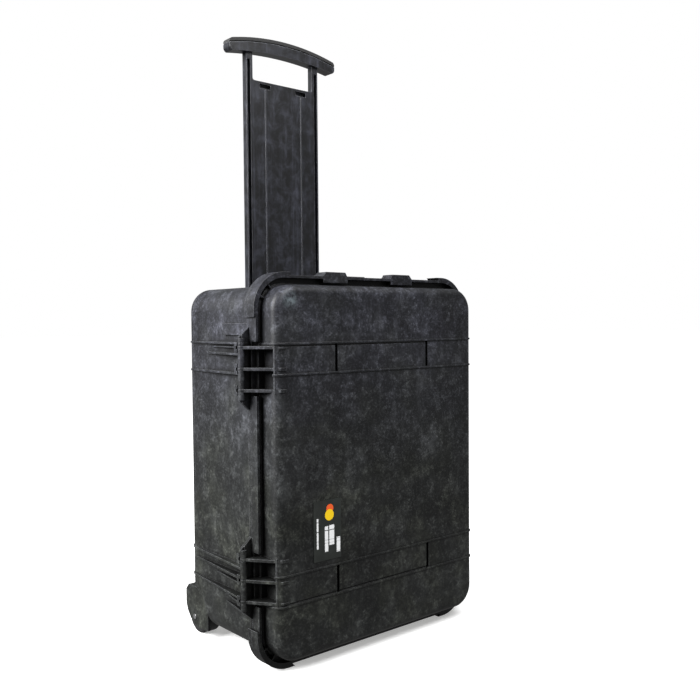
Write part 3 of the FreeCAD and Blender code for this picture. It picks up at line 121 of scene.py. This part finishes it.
class Graph:
    """The node tree of one material."""

    def __init__(self, name: str) -> None:
        """Args: name: the material's name."""
        self.material = bpy.data.materials.new(name)
        self.material.use_nodes = True
        self.tree = self.material.node_tree
        self.tree.nodes.clear()
        self.coordinates = self.node("ShaderNodeTexCoord").outputs["Object"]

    def node(self, kind: str, settings: dict | None = None, inputs: dict | None = None) -> Any:
        """Add one node.

        Args: kind: its type. settings: properties, set first. inputs: values or links by socket.
        Returns: the node.
        """
        made = self.tree.nodes.new(kind)
        for name, setting in (settings or {}).items():
            setattr(made, name, setting)
        for place, given in (inputs or {}).items():
            given = given.socket if isinstance(given, Value) else given
            if isinstance(given, bpy.types.NodeSocket):
                self.tree.links.new(given, made.inputs[place])
            else:
                made.inputs[place].default_value = given
        return made

    def stretched(self, scale: Triple) -> Any:
        """Returns: object coordinates scaled along each axis."""
        made = self.node("ShaderNodeVectorMath", {"operation": "MULTIPLY"},
                         {0: self.coordinates, 1: scale})
        return made.outputs[0]

    def noise(self, scale: float, detail: float = 3.0, roughness: float = 0.5,
              stretch: Triple = (1, 1, 1), distortion: float = 0.0) -> Value:
        """Cloudy variation.

        Args: scale: blotches for each metre. detail: octaves. roughness: weight of fine
            octaves. stretch: how the blotches are drawn out. distortion: how they swirl.
        Returns: a value about 0.5.
        """
        made = self.node("ShaderNodeTexNoise", inputs={
            "Vector": self.stretched(stretch), "Scale": scale, "Detail": detail,
            "Roughness": roughness, "Distortion": distortion})
        return Value(self, made.outputs[0])

    def cells(self, scale: float) -> Value:
        """Args: scale: cells for each metre. Returns: distance in a cell pattern."""
        made = self.node("ShaderNodeTexVoronoi", inputs={"Vector": self.coordinates, "Scale": scale})
        return Value(self, made.outputs["Distance"])

    def axes(self) -> tuple[Value, Value, Value]:
        """Returns: the object coordinates as three values."""
        made = self.node("ShaderNodeSeparateXYZ", inputs={0: self.coordinates})
        return tuple(Value(self, made.outputs[index]) for index in range(3))

    def colour(self, factor: Value, first: Any, second: Any) -> Any:
        """Blend two colours.

        Args: factor: 0 for the first, 1 for the second. first, second: colours or links.
        Returns: the blended colour's socket.
        """
        def paint(shade: Any) -> Any:
            return (*shade, 1.0) if isinstance(shade, tuple) else shade

        made = self.node("ShaderNodeMix", {"data_type": "RGBA"},
                         {0: factor, 6: paint(first), 7: paint(second)})
        return made.outputs[2]

    def rounded(self, radius: float) -> Any:
        """Args: radius: softened edge radius. Returns: the softened normal."""
        return self.node("ShaderNodeBevel", {"samples": 6}, {"Radius": radius}).outputs[0]

    def openness(self, reach: float) -> Value:
        """Ambient occlusion, used for painted shade in recesses. Args: reach: how far away a wall
        still counts. Returns: 0 deep in a recess, 1 outside.
        """
        made = self.node("ShaderNodeAmbientOcclusion", {"samples": 6}, {"Distance": reach})
        return Value(self, made.outputs["AO"])

    def edge_wear(self, soft_normal: Any) -> Value:
        """Returns: 1 where the softened normal leaves the true one, which is at edges."""
        true_normal = self.node("ShaderNodeNewGeometry").outputs["Normal"]
        made = self.node("ShaderNodeVectorMath", {"operation": "DOT_PRODUCT"},
                         {0: soft_normal, 1: true_normal})
        return (1.0 - Value(self, made.outputs["Value"])).ramp(0.01, 0.22)

    def finish(self, colour: Any, roughness: Any, height: Value | None = None,
               relief: float = 0.0002, normal: Any = None, metallic: float = 0.0,
               specular: float = 0.5, sheen: float = 0.0, glow: Any = None) -> bpy.types.Material:
        """Join the surface to the output.

        Args: colour, roughness: the varying channels. height: bump height. relief: its depth in
            metres. normal: a softened normal. metallic, specular, sheen: set over the whole.
            glow: the colour of the light it gives off.
        Returns: the material.
        """
        inputs: dict = {"Base Color": (*colour, 1.0) if isinstance(colour, tuple) else colour,
                        "Roughness": roughness, "Metallic": metallic,
                        "Specular IOR Level": specular, "Sheen Weight": sheen}
        if glow is not None:
            inputs["Emission Color"] = glow
            inputs["Emission Strength"] = 1.0
        if height is not None:
            bump = self.node("ShaderNodeBump", inputs={"Distance": relief, "Height": height})
            if normal is not None:
                self.tree.links.new(normal, bump.inputs["Normal"])
            inputs["Normal"] = bump.outputs[0]
        elif normal is not None:
            inputs["Normal"] = normal
        shader = self.node("ShaderNodeBsdfPrincipled", inputs=inputs)
        output = self.node("ShaderNodeOutputMaterial")
        self.tree.links.new(shader.outputs[0], output.inputs[0])
        return self.material


# ---------------------------------------------------------------- finishes


@dataclass(frozen=True)
class ShellPlastic:
    """Black polypropylene with a fine grain, grey clouding, handling streaks, edges lightened partly
    by wear and partly as a painted highlight, and painted shade in recesses and creases.
    """

    name: str = "shell_plastic"
    dark_cool: Triple = (0.0030, 0.0032, 0.0048)
    dark_warm: Triple = (0.0026, 0.0030, 0.0025)
    pale_cool: Triple = (0.102, 0.106, 0.134)
    pale_warm: Triple = (0.088, 0.094, 0.080)
    # Edge colour: partly wear, partly a painted highlight on the fin and flange edges.
    worn: Triple = (0.190, 0.196, 0.212)
    # Painted shade: the near-black laid into recesses and creases, where shade falls.
    painted_recess_shade: Triple = (0.0008, 0.0008, 0.0008)
    scuff: Triple = (0.170, 0.205, 0.225)
    scuff_place: Triple = (-0.172, -0.131, 0.521)
    scuff_reach: Span = (0.002, 0.017)
    # The hinge side, where the painted edge highlight is strongest.
    highlight_side: Span = (-0.192, -0.170)
    warm_heights: Span = (0.18, 0.52)
    roughness: float = 0.47
    soften: float = 0.0011

    def mottling(self, graph: Graph) -> Value:
        """Cloudy grey blotches broken up by finer ones, with faint drawn streaks.

        Args: graph: the material.
        Returns: 0 where the plastic is black, 1 where it is palest.
        """
        regions = graph.noise(8.0, 3.0, 0.55, distortion=0.6).ramp(0.34, 0.68)
        blotches = graph.noise(58.0, 6.0, 0.74, distortion=0.3).ramp(0.46, 0.66)
        drawn = graph.noise(46.0, 6.0, 0.74, stretch=(1.0, 1.0, 0.42)).ramp(0.48, 0.68)
        fine = graph.noise(300.0, 4.0, 0.78).ramp(0.48, 0.66)
        streaks = graph.noise(110.0, 3.0, 0.6, stretch=(1.0, 1.0, 0.05)).ramp(0.58, 0.80)
        scuffs = graph.noise(90.0, 2.0, 0.5, stretch=(0.05, 1.0, 1.0)).ramp(0.64, 0.82)
        specks = 1.0 - graph.cells(480.0).ramp(0.05, 0.20)
        cloudy = (blotches * 0.34 + drawn * 0.24) * (0.50 + regions * 0.60)
        return (regions * 0.07 + cloudy * 0.72 + fine * (0.16 + blotches * 0.36) + streaks * 0.06
                + scuffs * 0.07 + specks * 0.22).smaller(1.0)

    def rub_mark(self, graph: Graph) -> Value:
        """Returns: 1 on the pale rub at the lid's upper hinge corner."""
        offset = graph.node("ShaderNodeVectorMath", {"operation": "SUBTRACT"},
                            {0: graph.coordinates, 1: self.scuff_place})
        away = graph.node("ShaderNodeVectorMath", {"operation": "LENGTH"}, {0: offset.outputs[0]})
        spot = 1.0 - Value(graph, away.outputs["Value"]).ramp(*self.scuff_reach)
        return spot * graph.noise(130.0, 5.0, 0.7).ramp(0.34, 0.66)

    def make(self) -> bpy.types.Material:
        """Returns: the finished material."""
        graph = Graph(self.name)
        soft = graph.rounded(self.soften)
        wear = graph.edge_wear(soft)
        haze = self.mottling(graph)
        grain = graph.noise(1500.0, 2.0, 0.6)
        across, _, height_up = graph.axes()
        # Painted highlight: edges are lightened more on the hinge side than on the lid face.
        highlight_weight = 0.22 + (1.0 - across.ramp(*self.highlight_side)) * 0.48
        drift = graph.noise(16.0, 3.0).ramp(0.4, 0.7)
        warmth = (1.0 - height_up.ramp(*self.warm_heights)) * 0.75 + drift * 0.35
        dark = graph.colour(warmth, self.dark_cool, self.dark_warm)
        pale = graph.colour(warmth, self.pale_cool, self.pale_warm)
        body = graph.colour(haze, dark, pale)
        body = graph.colour(self.rub_mark(graph) * 0.75, body, self.scuff)
        # Edge lightening broken up by noise: partly wear, partly painted highlight.
        broken = wear * (0.30 + graph.noise(120.0, 3.0).ramp(0.3, 0.7) * 0.70)
        colour = graph.colour(broken * highlight_weight, body, self.worn)
        # Painted shade: ambient occlusion at two reaches darkens recesses, fin pockets and the
        # creases beside ribs.
        clear_of_painted_shade = graph.openness(0.05).ramp(0.22, 0.80) * graph.openness(0.006).ramp(0.35, 0.92)
        colour = graph.colour(clear_of_painted_shade, self.painted_recess_shade, colour)
        rough = self.roughness + haze * 0.16 - broken * 0.10 + (grain - 0.5) * 0.06
        height = grain * 0.5 + graph.noise(420.0, 2.0) * 0.5
        return graph.finish(colour, rough, height, 0.00014, soft, specular=0.30)


@dataclass(frozen=True)
class SatinPlastic:
    """Smooth black plastic with a low sheen and fine rubbed lines along its travel."""

    name: str
    dark: Triple = (0.0035, 0.0037, 0.0046)
    pale: Triple = (0.084, 0.089, 0.122)
    worn: Triple = (0.300, 0.310, 0.340)
    roughness: float = 0.36
    rubbing: float = 0.7
    soften: float = 0.0008

    def make(self) -> bpy.types.Material:
        """Returns: the finished material."""
        graph = Graph(self.name)
        soft = graph.rounded(self.soften)
        wear = graph.edge_wear(soft)
        lines = graph.noise(150.0, 4.0, 0.7, stretch=(1.0, 1.0, 0.02)).ramp(0.50, 0.80)
        clouds = graph.noise(50.0, 6.0, 0.74, distortion=0.4).ramp(0.42, 0.72)
        smears = graph.noise(60.0, 5.0, 0.7, stretch=(1.0, 1.0, 0.30)).ramp(0.48, 0.74)
        specks = 1.0 - graph.cells(430.0).ramp(0.04, 0.20)
        haze = (lines * 0.24 + clouds * 0.22 + smears * 0.22 + specks * 0.18) * self.rubbing
        body = graph.colour(haze.smaller(1.0), self.dark, self.pale)
        colour = graph.colour(wear * 0.85, body, self.worn)
        rough = self.roughness + haze * 0.22 - wear * 0.06
        return graph.finish(colour, rough, graph.noise(700.0, 2.0), 0.00008, soft, specular=0.42)


@dataclass(frozen=True)
class SoftRubber:
    """Matt black rubber with a pebbled skin."""

    name: str
    dark: Triple = (0.0060, 0.0060, 0.0063)
    pale: Triple = (0.030, 0.030, 0.032)
    roughness: float = 0.62
    pebble: float = 900.0

    def make(self) -> bpy.types.Material:
        """Returns: the finished material."""
        graph = Graph(self.name)
        soft = graph.rounded(0.0010)
        wear = graph.edge_wear(soft)
        dust = graph.noise(55.0, 5.0, 0.65).ramp(0.45, 0.8)
        colour = graph.colour((dust * 0.5 + wear * 0.5).smaller(1.0), self.dark, self.pale)
        height = graph.cells(self.pebble)
        return graph.finish(colour, self.roughness + dust * 0.12, height, 0.00015, soft)


@dataclass(frozen=True)
class BrushedSteel:
    """Bright steel with fine turning marks."""

    name: str = "steel"
    bright: Triple = (0.58, 0.58, 0.59)
    dull: Triple = (0.34, 0.34, 0.35)

    def make(self) -> bpy.types.Material:
        """Returns: the finished material."""
        graph = Graph(self.name)
        marks = graph.noise(900.0, 3.0, 0.6, stretch=(1.0, 1.0, 0.1))
        tarnish = graph.noise(90.0, 4.0, 0.6).ramp(0.4, 0.8)
        colour = graph.colour(tarnish, self.bright, self.dull)
        rough = 0.24 + marks * 0.14 + tarnish * 0.12
        return graph.finish(colour, rough, marks, 0.00004, graph.rounded(0.0004), metallic=1.0)


@dataclass(frozen=True)
class ClosedFoam:
    """Charcoal closed-cell foam."""

    name: str = "foam"
    dark: Triple = (0.018, 0.018, 0.019)
    pale: Triple = (0.05, 0.05, 0.052)

    def make(self) -> bpy.types.Material:
        """Returns: the finished material."""
        graph = Graph(self.name)
        pores = graph.cells(800.0)
        cloud = graph.noise(40.0, 3.0).ramp(0.35, 0.7)
        colour = graph.colour(cloud * 0.6 + pores * 0.5, self.dark, self.pale)
        return graph.finish(colour, 0.92, pores, 0.0004, sheen=0.2)


@dataclass(frozen=True)
class PrintedLabel:
    """A dark label with two plain discs and broken pale bars, and no lettering."""

    name: str = "label_film"
    low: Triple = (-0.136, 0.0, 0.152)
    size: Triple = (0.050, 0.0, 0.086)
    film_dark: Triple = (0.0120, 0.0145, 0.0125)
    film_pale: Triple = (0.0210, 0.0245, 0.0215)
    ink: Triple = (0.95, 0.96, 0.97)
    soft_across: float = 0.01
    soft_up: float = 0.006
    soft_rim: float = 0.0004
    discs: tuple[tuple[Span, float, Triple], ...] = (
        ((-0.1065, 0.2250), 0.0064, (0.90, 0.12, 0.02)),
        ((-0.1075, 0.2160), 0.0080, (1.0, 0.66, 0.005)))
    bars: tuple[tuple[Span, Span], ...] = (
        ((0.56, 0.74), (0.24, 0.57)), ((0.40, 0.52), (0.14, 0.56)),
        ((0.11, 0.17), (0.21, 0.71)), ((0.83, 0.96), (0.10, 0.35)))

    def bar(self, graph: Graph, span_x: Span, span_z: Span) -> Value:
        """A rectangle in the label's own 0..1 range.

        Args: graph: the material. span_x, span_z: its edges.
        Returns: 1 inside it.
        """
        across, _, up = graph.axes()
        u = (across - self.low[0]) * (1.0 / self.size[0])
        v = (up - self.low[2]) * (1.0 / self.size[2])
        left, right = (u.ramp(edge - self.soft_across, edge + self.soft_across) for edge in span_x)
        bottom, top = (v.ramp(edge - self.soft_up, edge + self.soft_up) for edge in span_z)
        return left * (1.0 - right) * bottom * (1.0 - top)

    def disc(self, graph: Graph, place: Span, radius: float) -> Value:
        """Args: graph: the material. place, radius: the disc. Returns: 1 inside it."""
        across, _, up = graph.axes()
        offset = (across - place[0]) * (across - place[0]) + (up - place[1]) * (up - place[1])
        return 1.0 - offset.power(0.5).ramp(radius - self.soft_rim, radius + self.soft_rim)

    def make(self) -> bpy.types.Material:
        """Returns: the finished material."""
        graph = Graph(self.name)
        cloud = graph.noise(70.0, 4.0).ramp(0.3, 0.8)
        colour = graph.colour(cloud, self.film_dark, self.film_pale)
        for place, radius, shade in self.discs:
            colour = graph.colour(self.disc(graph, place, radius), colour, shade)
        broken = graph.noise(430.0, 1.0, stretch=(0.0, 0.0, 1.0)).ramp(0.36, 0.42)
        for span_x, span_z in self.bars:
            colour = graph.colour(self.bar(graph, span_x, span_z) * broken, colour, self.ink)
        return graph.finish(colour, 0.36 + cloud * 0.12, cloud, 0.00003)


class Finish(Enum):
    """Every finish on the case, by the record's material slot."""

    SHELL = "shell_plastic"
    LATCH = "latch_plastic"
    TROLLEY = "trolley_plastic"
    HUB = "hub_plastic"
    GRIP = "grip_rubber"
    SEAL = "seal_rubber"
    TYRE = "tyre_rubber"
    STEEL = "steel"
    LABEL = "label_film"
    FOAM = "foam"


def make_finishes() -> dict[str, bpy.types.Material]:
    """Returns: one material for each slot, by the slot's name."""
    makers = {
        Finish.SHELL: ShellPlastic(),
        Finish.LATCH: SatinPlastic("latch_plastic"),
        Finish.TROLLEY: SatinPlastic("trolley_plastic", roughness=0.34, rubbing=1.05),
        Finish.HUB: SatinPlastic("hub_plastic", pale=(0.14, 0.14, 0.145)),
        Finish.GRIP: SoftRubber("grip_rubber"),
        Finish.SEAL: SoftRubber("seal_rubber", pebble=1600.0),
        Finish.TYRE: SoftRubber("tyre_rubber", roughness=0.7, pebble=700.0),
        Finish.STEEL: BrushedSteel(),
        Finish.LABEL: PrintedLabel(),
        Finish.FOAM: ClosedFoam(),
    }
    return {kind.value: maker.make() for kind, maker in makers.items()}


# ---------------------------------------------------------------- modelling tools

DEPTH = 1  # the axis through the case from lid to back
CORNER_FACETS = 8
PARALLEL = 0.999
RIM_ANGLE = math.radians(50)
SMOOTH_ANGLE = math.radians(40)


def clear_selection() -> None:
    """Leave nothing selected, so that an operator acts on one piece."""
    if bpy.context.object and bpy.context.object.mode != "OBJECT":
        bpy.ops.object.mode_set(mode="OBJECT")
    bpy.ops.object.select_all(action="DESELECT")


def activate(piece: bpy.types.Object) -> None:
    """Args: piece: the only piece that the next operator acts on."""
    clear_selection()
    piece.select_set(True)
    bpy.context.view_layer.objects.active = piece


def apply_all(piece: bpy.types.Object) -> None:
    """Args: piece: the piece whose modifiers are applied in order."""
    activate(piece)
    for modifier in list(piece.modifiers):
        bpy.ops.object.modifier_apply(modifier=modifier.name)


def block(name: str, low: Vector, high: Vector, margin: float = 0.0) -> bpy.types.Object:
    """A box placed in its own mesh.

    Args: name: its name. low, high: its corners. margin: how far it is drawn in.
    Returns: the piece, active.
    """
    clear_selection()
    size = high - low - Vector((2 * margin,) * 3)
    bpy.ops.mesh.primitive_cube_add(size=1.0, location=(low + high) / 2)
    piece = bpy.context.object
    piece.name = name
    piece.scale = size
    bpy.ops.object.transform_apply(location=True, rotation=True, scale=True)
    return piece


def round_edges(piece: bpy.types.Object, axis: int, radius: float) -> None:
    """Bevel the edges that run along an axis.

    Args: piece: what is bevelled. axis: 0, 1 or 2. radius: the bevel.
    """
    activate(piece)
    bpy.ops.object.mode_set(mode="EDIT")
    bpy.ops.mesh.select_all(action="DESELECT")
    bpy.ops.mesh.select_mode(type="EDGE")
    bpy.ops.object.mode_set(mode="OBJECT")
    points = piece.data.vertices
    for edge in piece.data.edges:
        way = points[edge.vertices[1]].co - points[edge.vertices[0]].co
        edge.select = abs(way[axis]) > PARALLEL * way.length
    bpy.ops.object.mode_set(mode="EDIT")
    bpy.ops.mesh.bevel(offset=radius, segments=CORNER_FACETS, affect="EDGES")
    bpy.ops.object.mode_set(mode="OBJECT")


def carve(piece: bpy.types.Object, tools: list[bpy.types.Object]) -> None:
    """Cut tools out of a piece and delete them."""
    for tool in tools:
        modifier = piece.modifiers.new("cut", "BOOLEAN")
        modifier.operation = "DIFFERENCE"
        modifier.solver = "EXACT"
        modifier.object = tool
    apply_all(piece)
    for tool in tools:
        bpy.data.objects.remove(tool, do_unlink=True)


def soften_rims(piece: bpy.types.Object, radius: float, segments: int = 3) -> None:
    """Round the sharp rims of a foam piece with a modifier and smooth it."""
    modifier = piece.modifiers.new("rims", "BEVEL")
    modifier.width = radius
    modifier.segments = segments
    modifier.limit_method = "ANGLE"
    modifier.angle_limit = RIM_ANGLE
    apply_all(piece)
    activate(piece)
    bpy.ops.object.shade_smooth_by_angle(angle=SMOOTH_ANGLE)


# ---------------------------------------------------------------- the case


@dataclass
class CarriedNodes:
    """The moulded and metal parts, which keep their shape and take their finishes."""

    finishes: dict[str, bpy.types.Material]
    nodes: dict[str, bpy.types.Object]
    slots: dict[str, str]

    def dress(self) -> int:
        """Give every node its finish.

        Returns: how many nodes were dressed.
        """
        for name, piece in self.nodes.items():
            material = self.finishes[self.slots[name]]
            for place in piece.material_slots:
                place.material = material
            if not piece.material_slots:
                piece.data.materials.append(material)
        return len(self.nodes)


@dataclass
class FoamInsert:
    """The cut foam: a crowned lid pad, a tray with pockets, and the pad under it."""

    finish: bpy.types.Material
    corner: float = 0.032
    rim: float = 0.0025
    lid_rim: float = 0.0015
    margin: float = 0.0005
    border: float = 0.030
    crest_inset: float = 0.05
    crest_run: float = 0.0064
    crest_swing: float = 0.0045
    crest_depth: float = 0.006
    crest_block: float = 0.020
    overrun: float = 0.02
    well_low: Triple = (0.139, 0.051, -0.01)
    well_high: Triple = (0.230, 0.110, 0.085)
    notch_low: Triple = (0.178, -0.002, 0.2585)
    notch_high: Triple = (0.205, 0.042, 0.3025)
    pockets: dict[str, tuple[float, ...]] = field(default_factory=lambda: {
        "drone": (-0.158, 0.070, 0.318, 0.512, 0.024, 0.026),
        "controller": (-0.158, -0.006, 0.176, 0.290, 0.002, 0.022),
        "charger": (-0.158, -0.060, 0.096, 0.152, -0.010, 0.012),
        "battery_a": (0.026, 0.062, 0.096, 0.216, 0.010, 0.006),
        "battery_b": (0.076, 0.112, 0.096, 0.216, 0.010, 0.006),
        "battery_c": (0.126, 0.162, 0.096, 0.216, 0.010, 0.006),
        "propellers": (0.094, 0.160, 0.318, 0.512, -0.020, 0.014),
    })

    def wells(self) -> list[bpy.types.Object]:
        """Returns: the two blocks that clear the wheel wells."""
        blocks = []
        for side in (-1, 1):
            near, far = sorted((self.well_low[0] * side, self.well_high[0] * side))
            blocks.append(block("well", Vector((near, *self.well_low[1:])),
                                Vector((far, *self.well_high[1:]))))
        return blocks

    def lid_pad(self) -> bpy.types.Object:
        """Returns: the lid's pad, with rows of rounded crests towards the tray."""
        low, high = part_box("foam_lid")
        pad = block("foam_lid_pad", low, high, self.margin)
        round_edges(pad, DEPTH, self.corner)
        activate(pad)
        bpy.ops.object.mode_set(mode="EDIT")
        bpy.ops.mesh.select_all(action="DESELECT")
        bpy.ops.object.mode_set(mode="OBJECT")
        for face in pad.data.polygons:
            face.select = face.normal.y > 0.9
        bpy.ops.object.mode_set(mode="EDIT")
        bpy.ops.mesh.inset(thickness=self.border)
        bpy.ops.object.mode_set(mode="OBJECT")
        crests = self.crests(low, high)
        modifier = pad.modifiers.new("crests", "BOOLEAN")
        modifier.operation = "DIFFERENCE"
        modifier.object = crests
        apply_all(pad)
        bpy.data.objects.remove(crests, do_unlink=True)
        soften_rims(pad, self.lid_rim, 2)
        return pad

    def crests(self, low: Vector, high: Vector) -> bpy.types.Object:
        """The waved block that forms the crests.

        Args: low, high: the pad's corners.
        Returns: the block, its lower face waved.
        """
        clear_selection()
        centre = Vector(((low.x + high.x) / 2, high.y, (low.z + high.z) / 2))
        bpy.ops.mesh.primitive_grid_add(x_subdivisions=96, y_subdivisions=128, size=1.0,
                                        location=centre, rotation=(math.radians(90), 0, 0))
        sheet = bpy.context.object
        sheet.scale = (high.x - low.x - self.crest_inset, high.z - low.z - self.crest_inset, 1.0)
        bpy.ops.object.transform_apply(location=True, rotation=True, scale=True)
        for point in sheet.data.vertices:
            across = math.cos(point.co.x / self.crest_run)
            along = math.cos((point.co.z - centre.z) / self.crest_run)
            point.co.y = high.y - self.crest_depth + self.crest_swing * (across * along)
        bpy.ops.object.mode_set(mode="EDIT")
        bpy.ops.mesh.select_all(action="SELECT")
        bpy.ops.mesh.extrude_region_move(TRANSFORM_OT_translate={"value": (0, self.crest_block, 0)})
        bpy.ops.mesh.select_all(action="SELECT")
        bpy.ops.mesh.normals_make_consistent(inside=False)
        bpy.ops.object.mode_set(mode="OBJECT")
        return sheet

    def tray(self) -> bpy.types.Object:
        """Returns: the deep tray with its pockets and the space round the valve's nut."""
        low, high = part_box("foam_tray")
        body = block("foam_tray_cut", low, high, self.margin)
        round_edges(body, DEPTH, self.corner)
        tools = self.wells()
        for name, (x0, x1, z0, z1, bottom, radius) in self.pockets.items():
            tool = block(name, Vector((x0, low.y - self.overrun, z0)), Vector((x1, bottom, z1)))
            round_edges(tool, DEPTH, radius)
            tools.append(tool)
        tools.append(block("valve_notch", Vector(self.notch_low), Vector(self.notch_high)))
        carve(body, tools)
        soften_rims(body, self.rim)
        return body

    def floor_pad(self) -> bpy.types.Object:
        """Returns: the pad between the tray and the shell."""
        low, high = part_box("foam_floor")
        body = block("foam_floor_pad", low, high, self.margin)
        round_edges(body, DEPTH, self.corner)
        carve(body, self.wells())
        soften_rims(body, self.rim)
        return body

    def build(self) -> list[bpy.types.Object]:
        """Build, dress and attach the foam.

        Returns: its pieces.
        """
        made = []
        for piece, node, body in ((self.lid_pad(), "foam_lid", "lid"),
                                  (self.tray(), "foam_tray", "base"),
                                  (self.floor_pad(), "foam_floor", "base")):
            piece.data.materials.clear()
            piece.data.materials.append(self.finish)
            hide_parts(node)
            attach(piece, body)
            made.append(piece)
        return made


# ---------------------------------------------------------------- studio


@dataclass(frozen=True)
class SoftBox:
    """One square soft box: where it stands, what it faces, its side and its power in watts."""

    name: str
    place: Triple
    target: Triple
    size: float
    power: float

    def build(self) -> None:
        """Add the light."""
        clear_selection()
        bpy.ops.object.light_add(type="AREA", location=self.place)
        light = bpy.context.object
        light.name = self.name
        light.data.shape = "SQUARE"
        light.data.size = self.size
        light.data.energy = self.power
        facing = Vector(self.target) - Vector(self.place)
        light.rotation_euler = facing.to_track_quat("-Z", "Y").to_euler()


@dataclass(frozen=True)
class Studio:
    """A flat pale floor that brightens away from the case, soft lights and the camera."""

    floor_side: float = 60.0
    floor_shade: Triple = (0.88, 0.88, 0.88)
    floor_fade: float = 0.985
    glow_reach: Span = (0.35, 1.60)
    near_glow: Triple = (0.36, 0.36, 0.355)
    far_glow: Triple = (0.80, 0.80, 0.80)
    camera_place: Triple = (-0.8446, -1.0460, 0.4896)
    camera_turn: Triple = (40.40, 1.92, -0.47)
    lens: float = 42.75
    sensor: float = 36.0
    sky_seen: float = 1.0
    sky_cast: float = 0.31
    boxes: tuple[SoftBox, ...] = (
        SoftBox("left_box", (-2.30, 0.50, 1.60), (0.0, 0.0, 0.22), 1.6, 208.0),
        SoftBox("over_box", (0.05, -1.10, 1.80), (0.0, -0.05, 0.30), 1.1, 41.0))

    def floor(self) -> bpy.types.Object:
        """Returns: the floor, which glows more the farther it is from the case."""
        clear_selection()
        bpy.ops.mesh.primitive_plane_add(size=self.floor_side, location=(0, 0, 0))
        floor = bpy.context.object
        floor.name = "studio_floor"
        graph = Graph("studio_floor")
        tone = graph.noise(0.6, 1.0)
        faded = tuple(self.floor_fade * part for part in self.floor_shade)
        shade = graph.colour(tone, self.floor_shade, faded)
        away = graph.node("ShaderNodeVectorMath", {"operation": "LENGTH"}, {0: graph.coordinates})
        spread = Value(graph, away.outputs["Value"]).ramp(*self.glow_reach)
        glow = graph.colour(spread, self.near_glow, self.far_glow)
        floor.data.materials.append(graph.finish(shade, 0.85, specular=0.1, glow=glow))
        floor.visible_diffuse = False
        floor.visible_glossy = False
        return floor

    def sky(self) -> None:
        """Set the even white surround, brighter as a backdrop than as a light on the case."""
        world = bpy.data.worlds.new("studio_sky")
        world.use_nodes = True
        tree = world.node_tree
        background = tree.nodes["Background"]
        background.inputs[0].default_value = (1.0, 1.0, 1.0, 1.0)
        path = tree.nodes.new("ShaderNodeLightPath")
        mix = tree.nodes.new("ShaderNodeMix")
        mix.inputs[2].default_value = self.sky_cast
        mix.inputs[3].default_value = self.sky_seen
        tree.links.new(path.outputs["Is Camera Ray"], mix.inputs[0])
        tree.links.new(mix.outputs[0], background.inputs[1])
        bpy.context.scene.world = world
        bpy.context.scene.view_settings.view_transform = "Standard"

    def camera(self) -> bpy.types.Object:
        """Returns: the camera, in use."""
        data = bpy.data.cameras.new("studio_camera")
        data.lens = self.lens
        data.sensor_width = self.sensor
        data.dof.use_dof = False
        view = bpy.data.objects.new("studio_camera", data)
        bpy.context.scene.collection.objects.link(view)
        yaw, pitch, roll = (math.radians(angle) for angle in self.camera_turn)
        turn = (Matrix.Rotation(-yaw, 4, "Z") @ Matrix.Rotation(math.pi / 2 - pitch, 4, "X")
                @ Matrix.Rotation(roll, 4, "Z"))
        view.matrix_world = Matrix.Translation(Vector(self.camera_place)) @ turn
        bpy.context.scene.camera = view
        return view

    def build(self) -> None:
        """Build the floor, the light and the camera."""
        self.floor()
        self.sky()
        for box in self.boxes:
            box.build()
        self.camera()


def main() -> None:
    """Build the case and its studio."""
    logging.basicConfig(level=logging.INFO, format="%(name)s: %(message)s")
    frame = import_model()
    finishes = make_finishes()
    record = frame["record"]
    slots = {entry["node"]: entry["material_slot"] for entry in record["subparts"]}
    dressed = CarriedNodes(finishes, frame["nodes"], slots).dress()
    LOG.info("dressed %d moulded and metal parts", dressed)
    for piece in FoamInsert(finishes[Finish.FOAM.value]).build():
        LOG.info("built %s with %d faces", piece.name, len(piece.data.polygons))
    Studio().build()
    LOG.info("set out the studio")


if __name__ == "__main__":
    main()
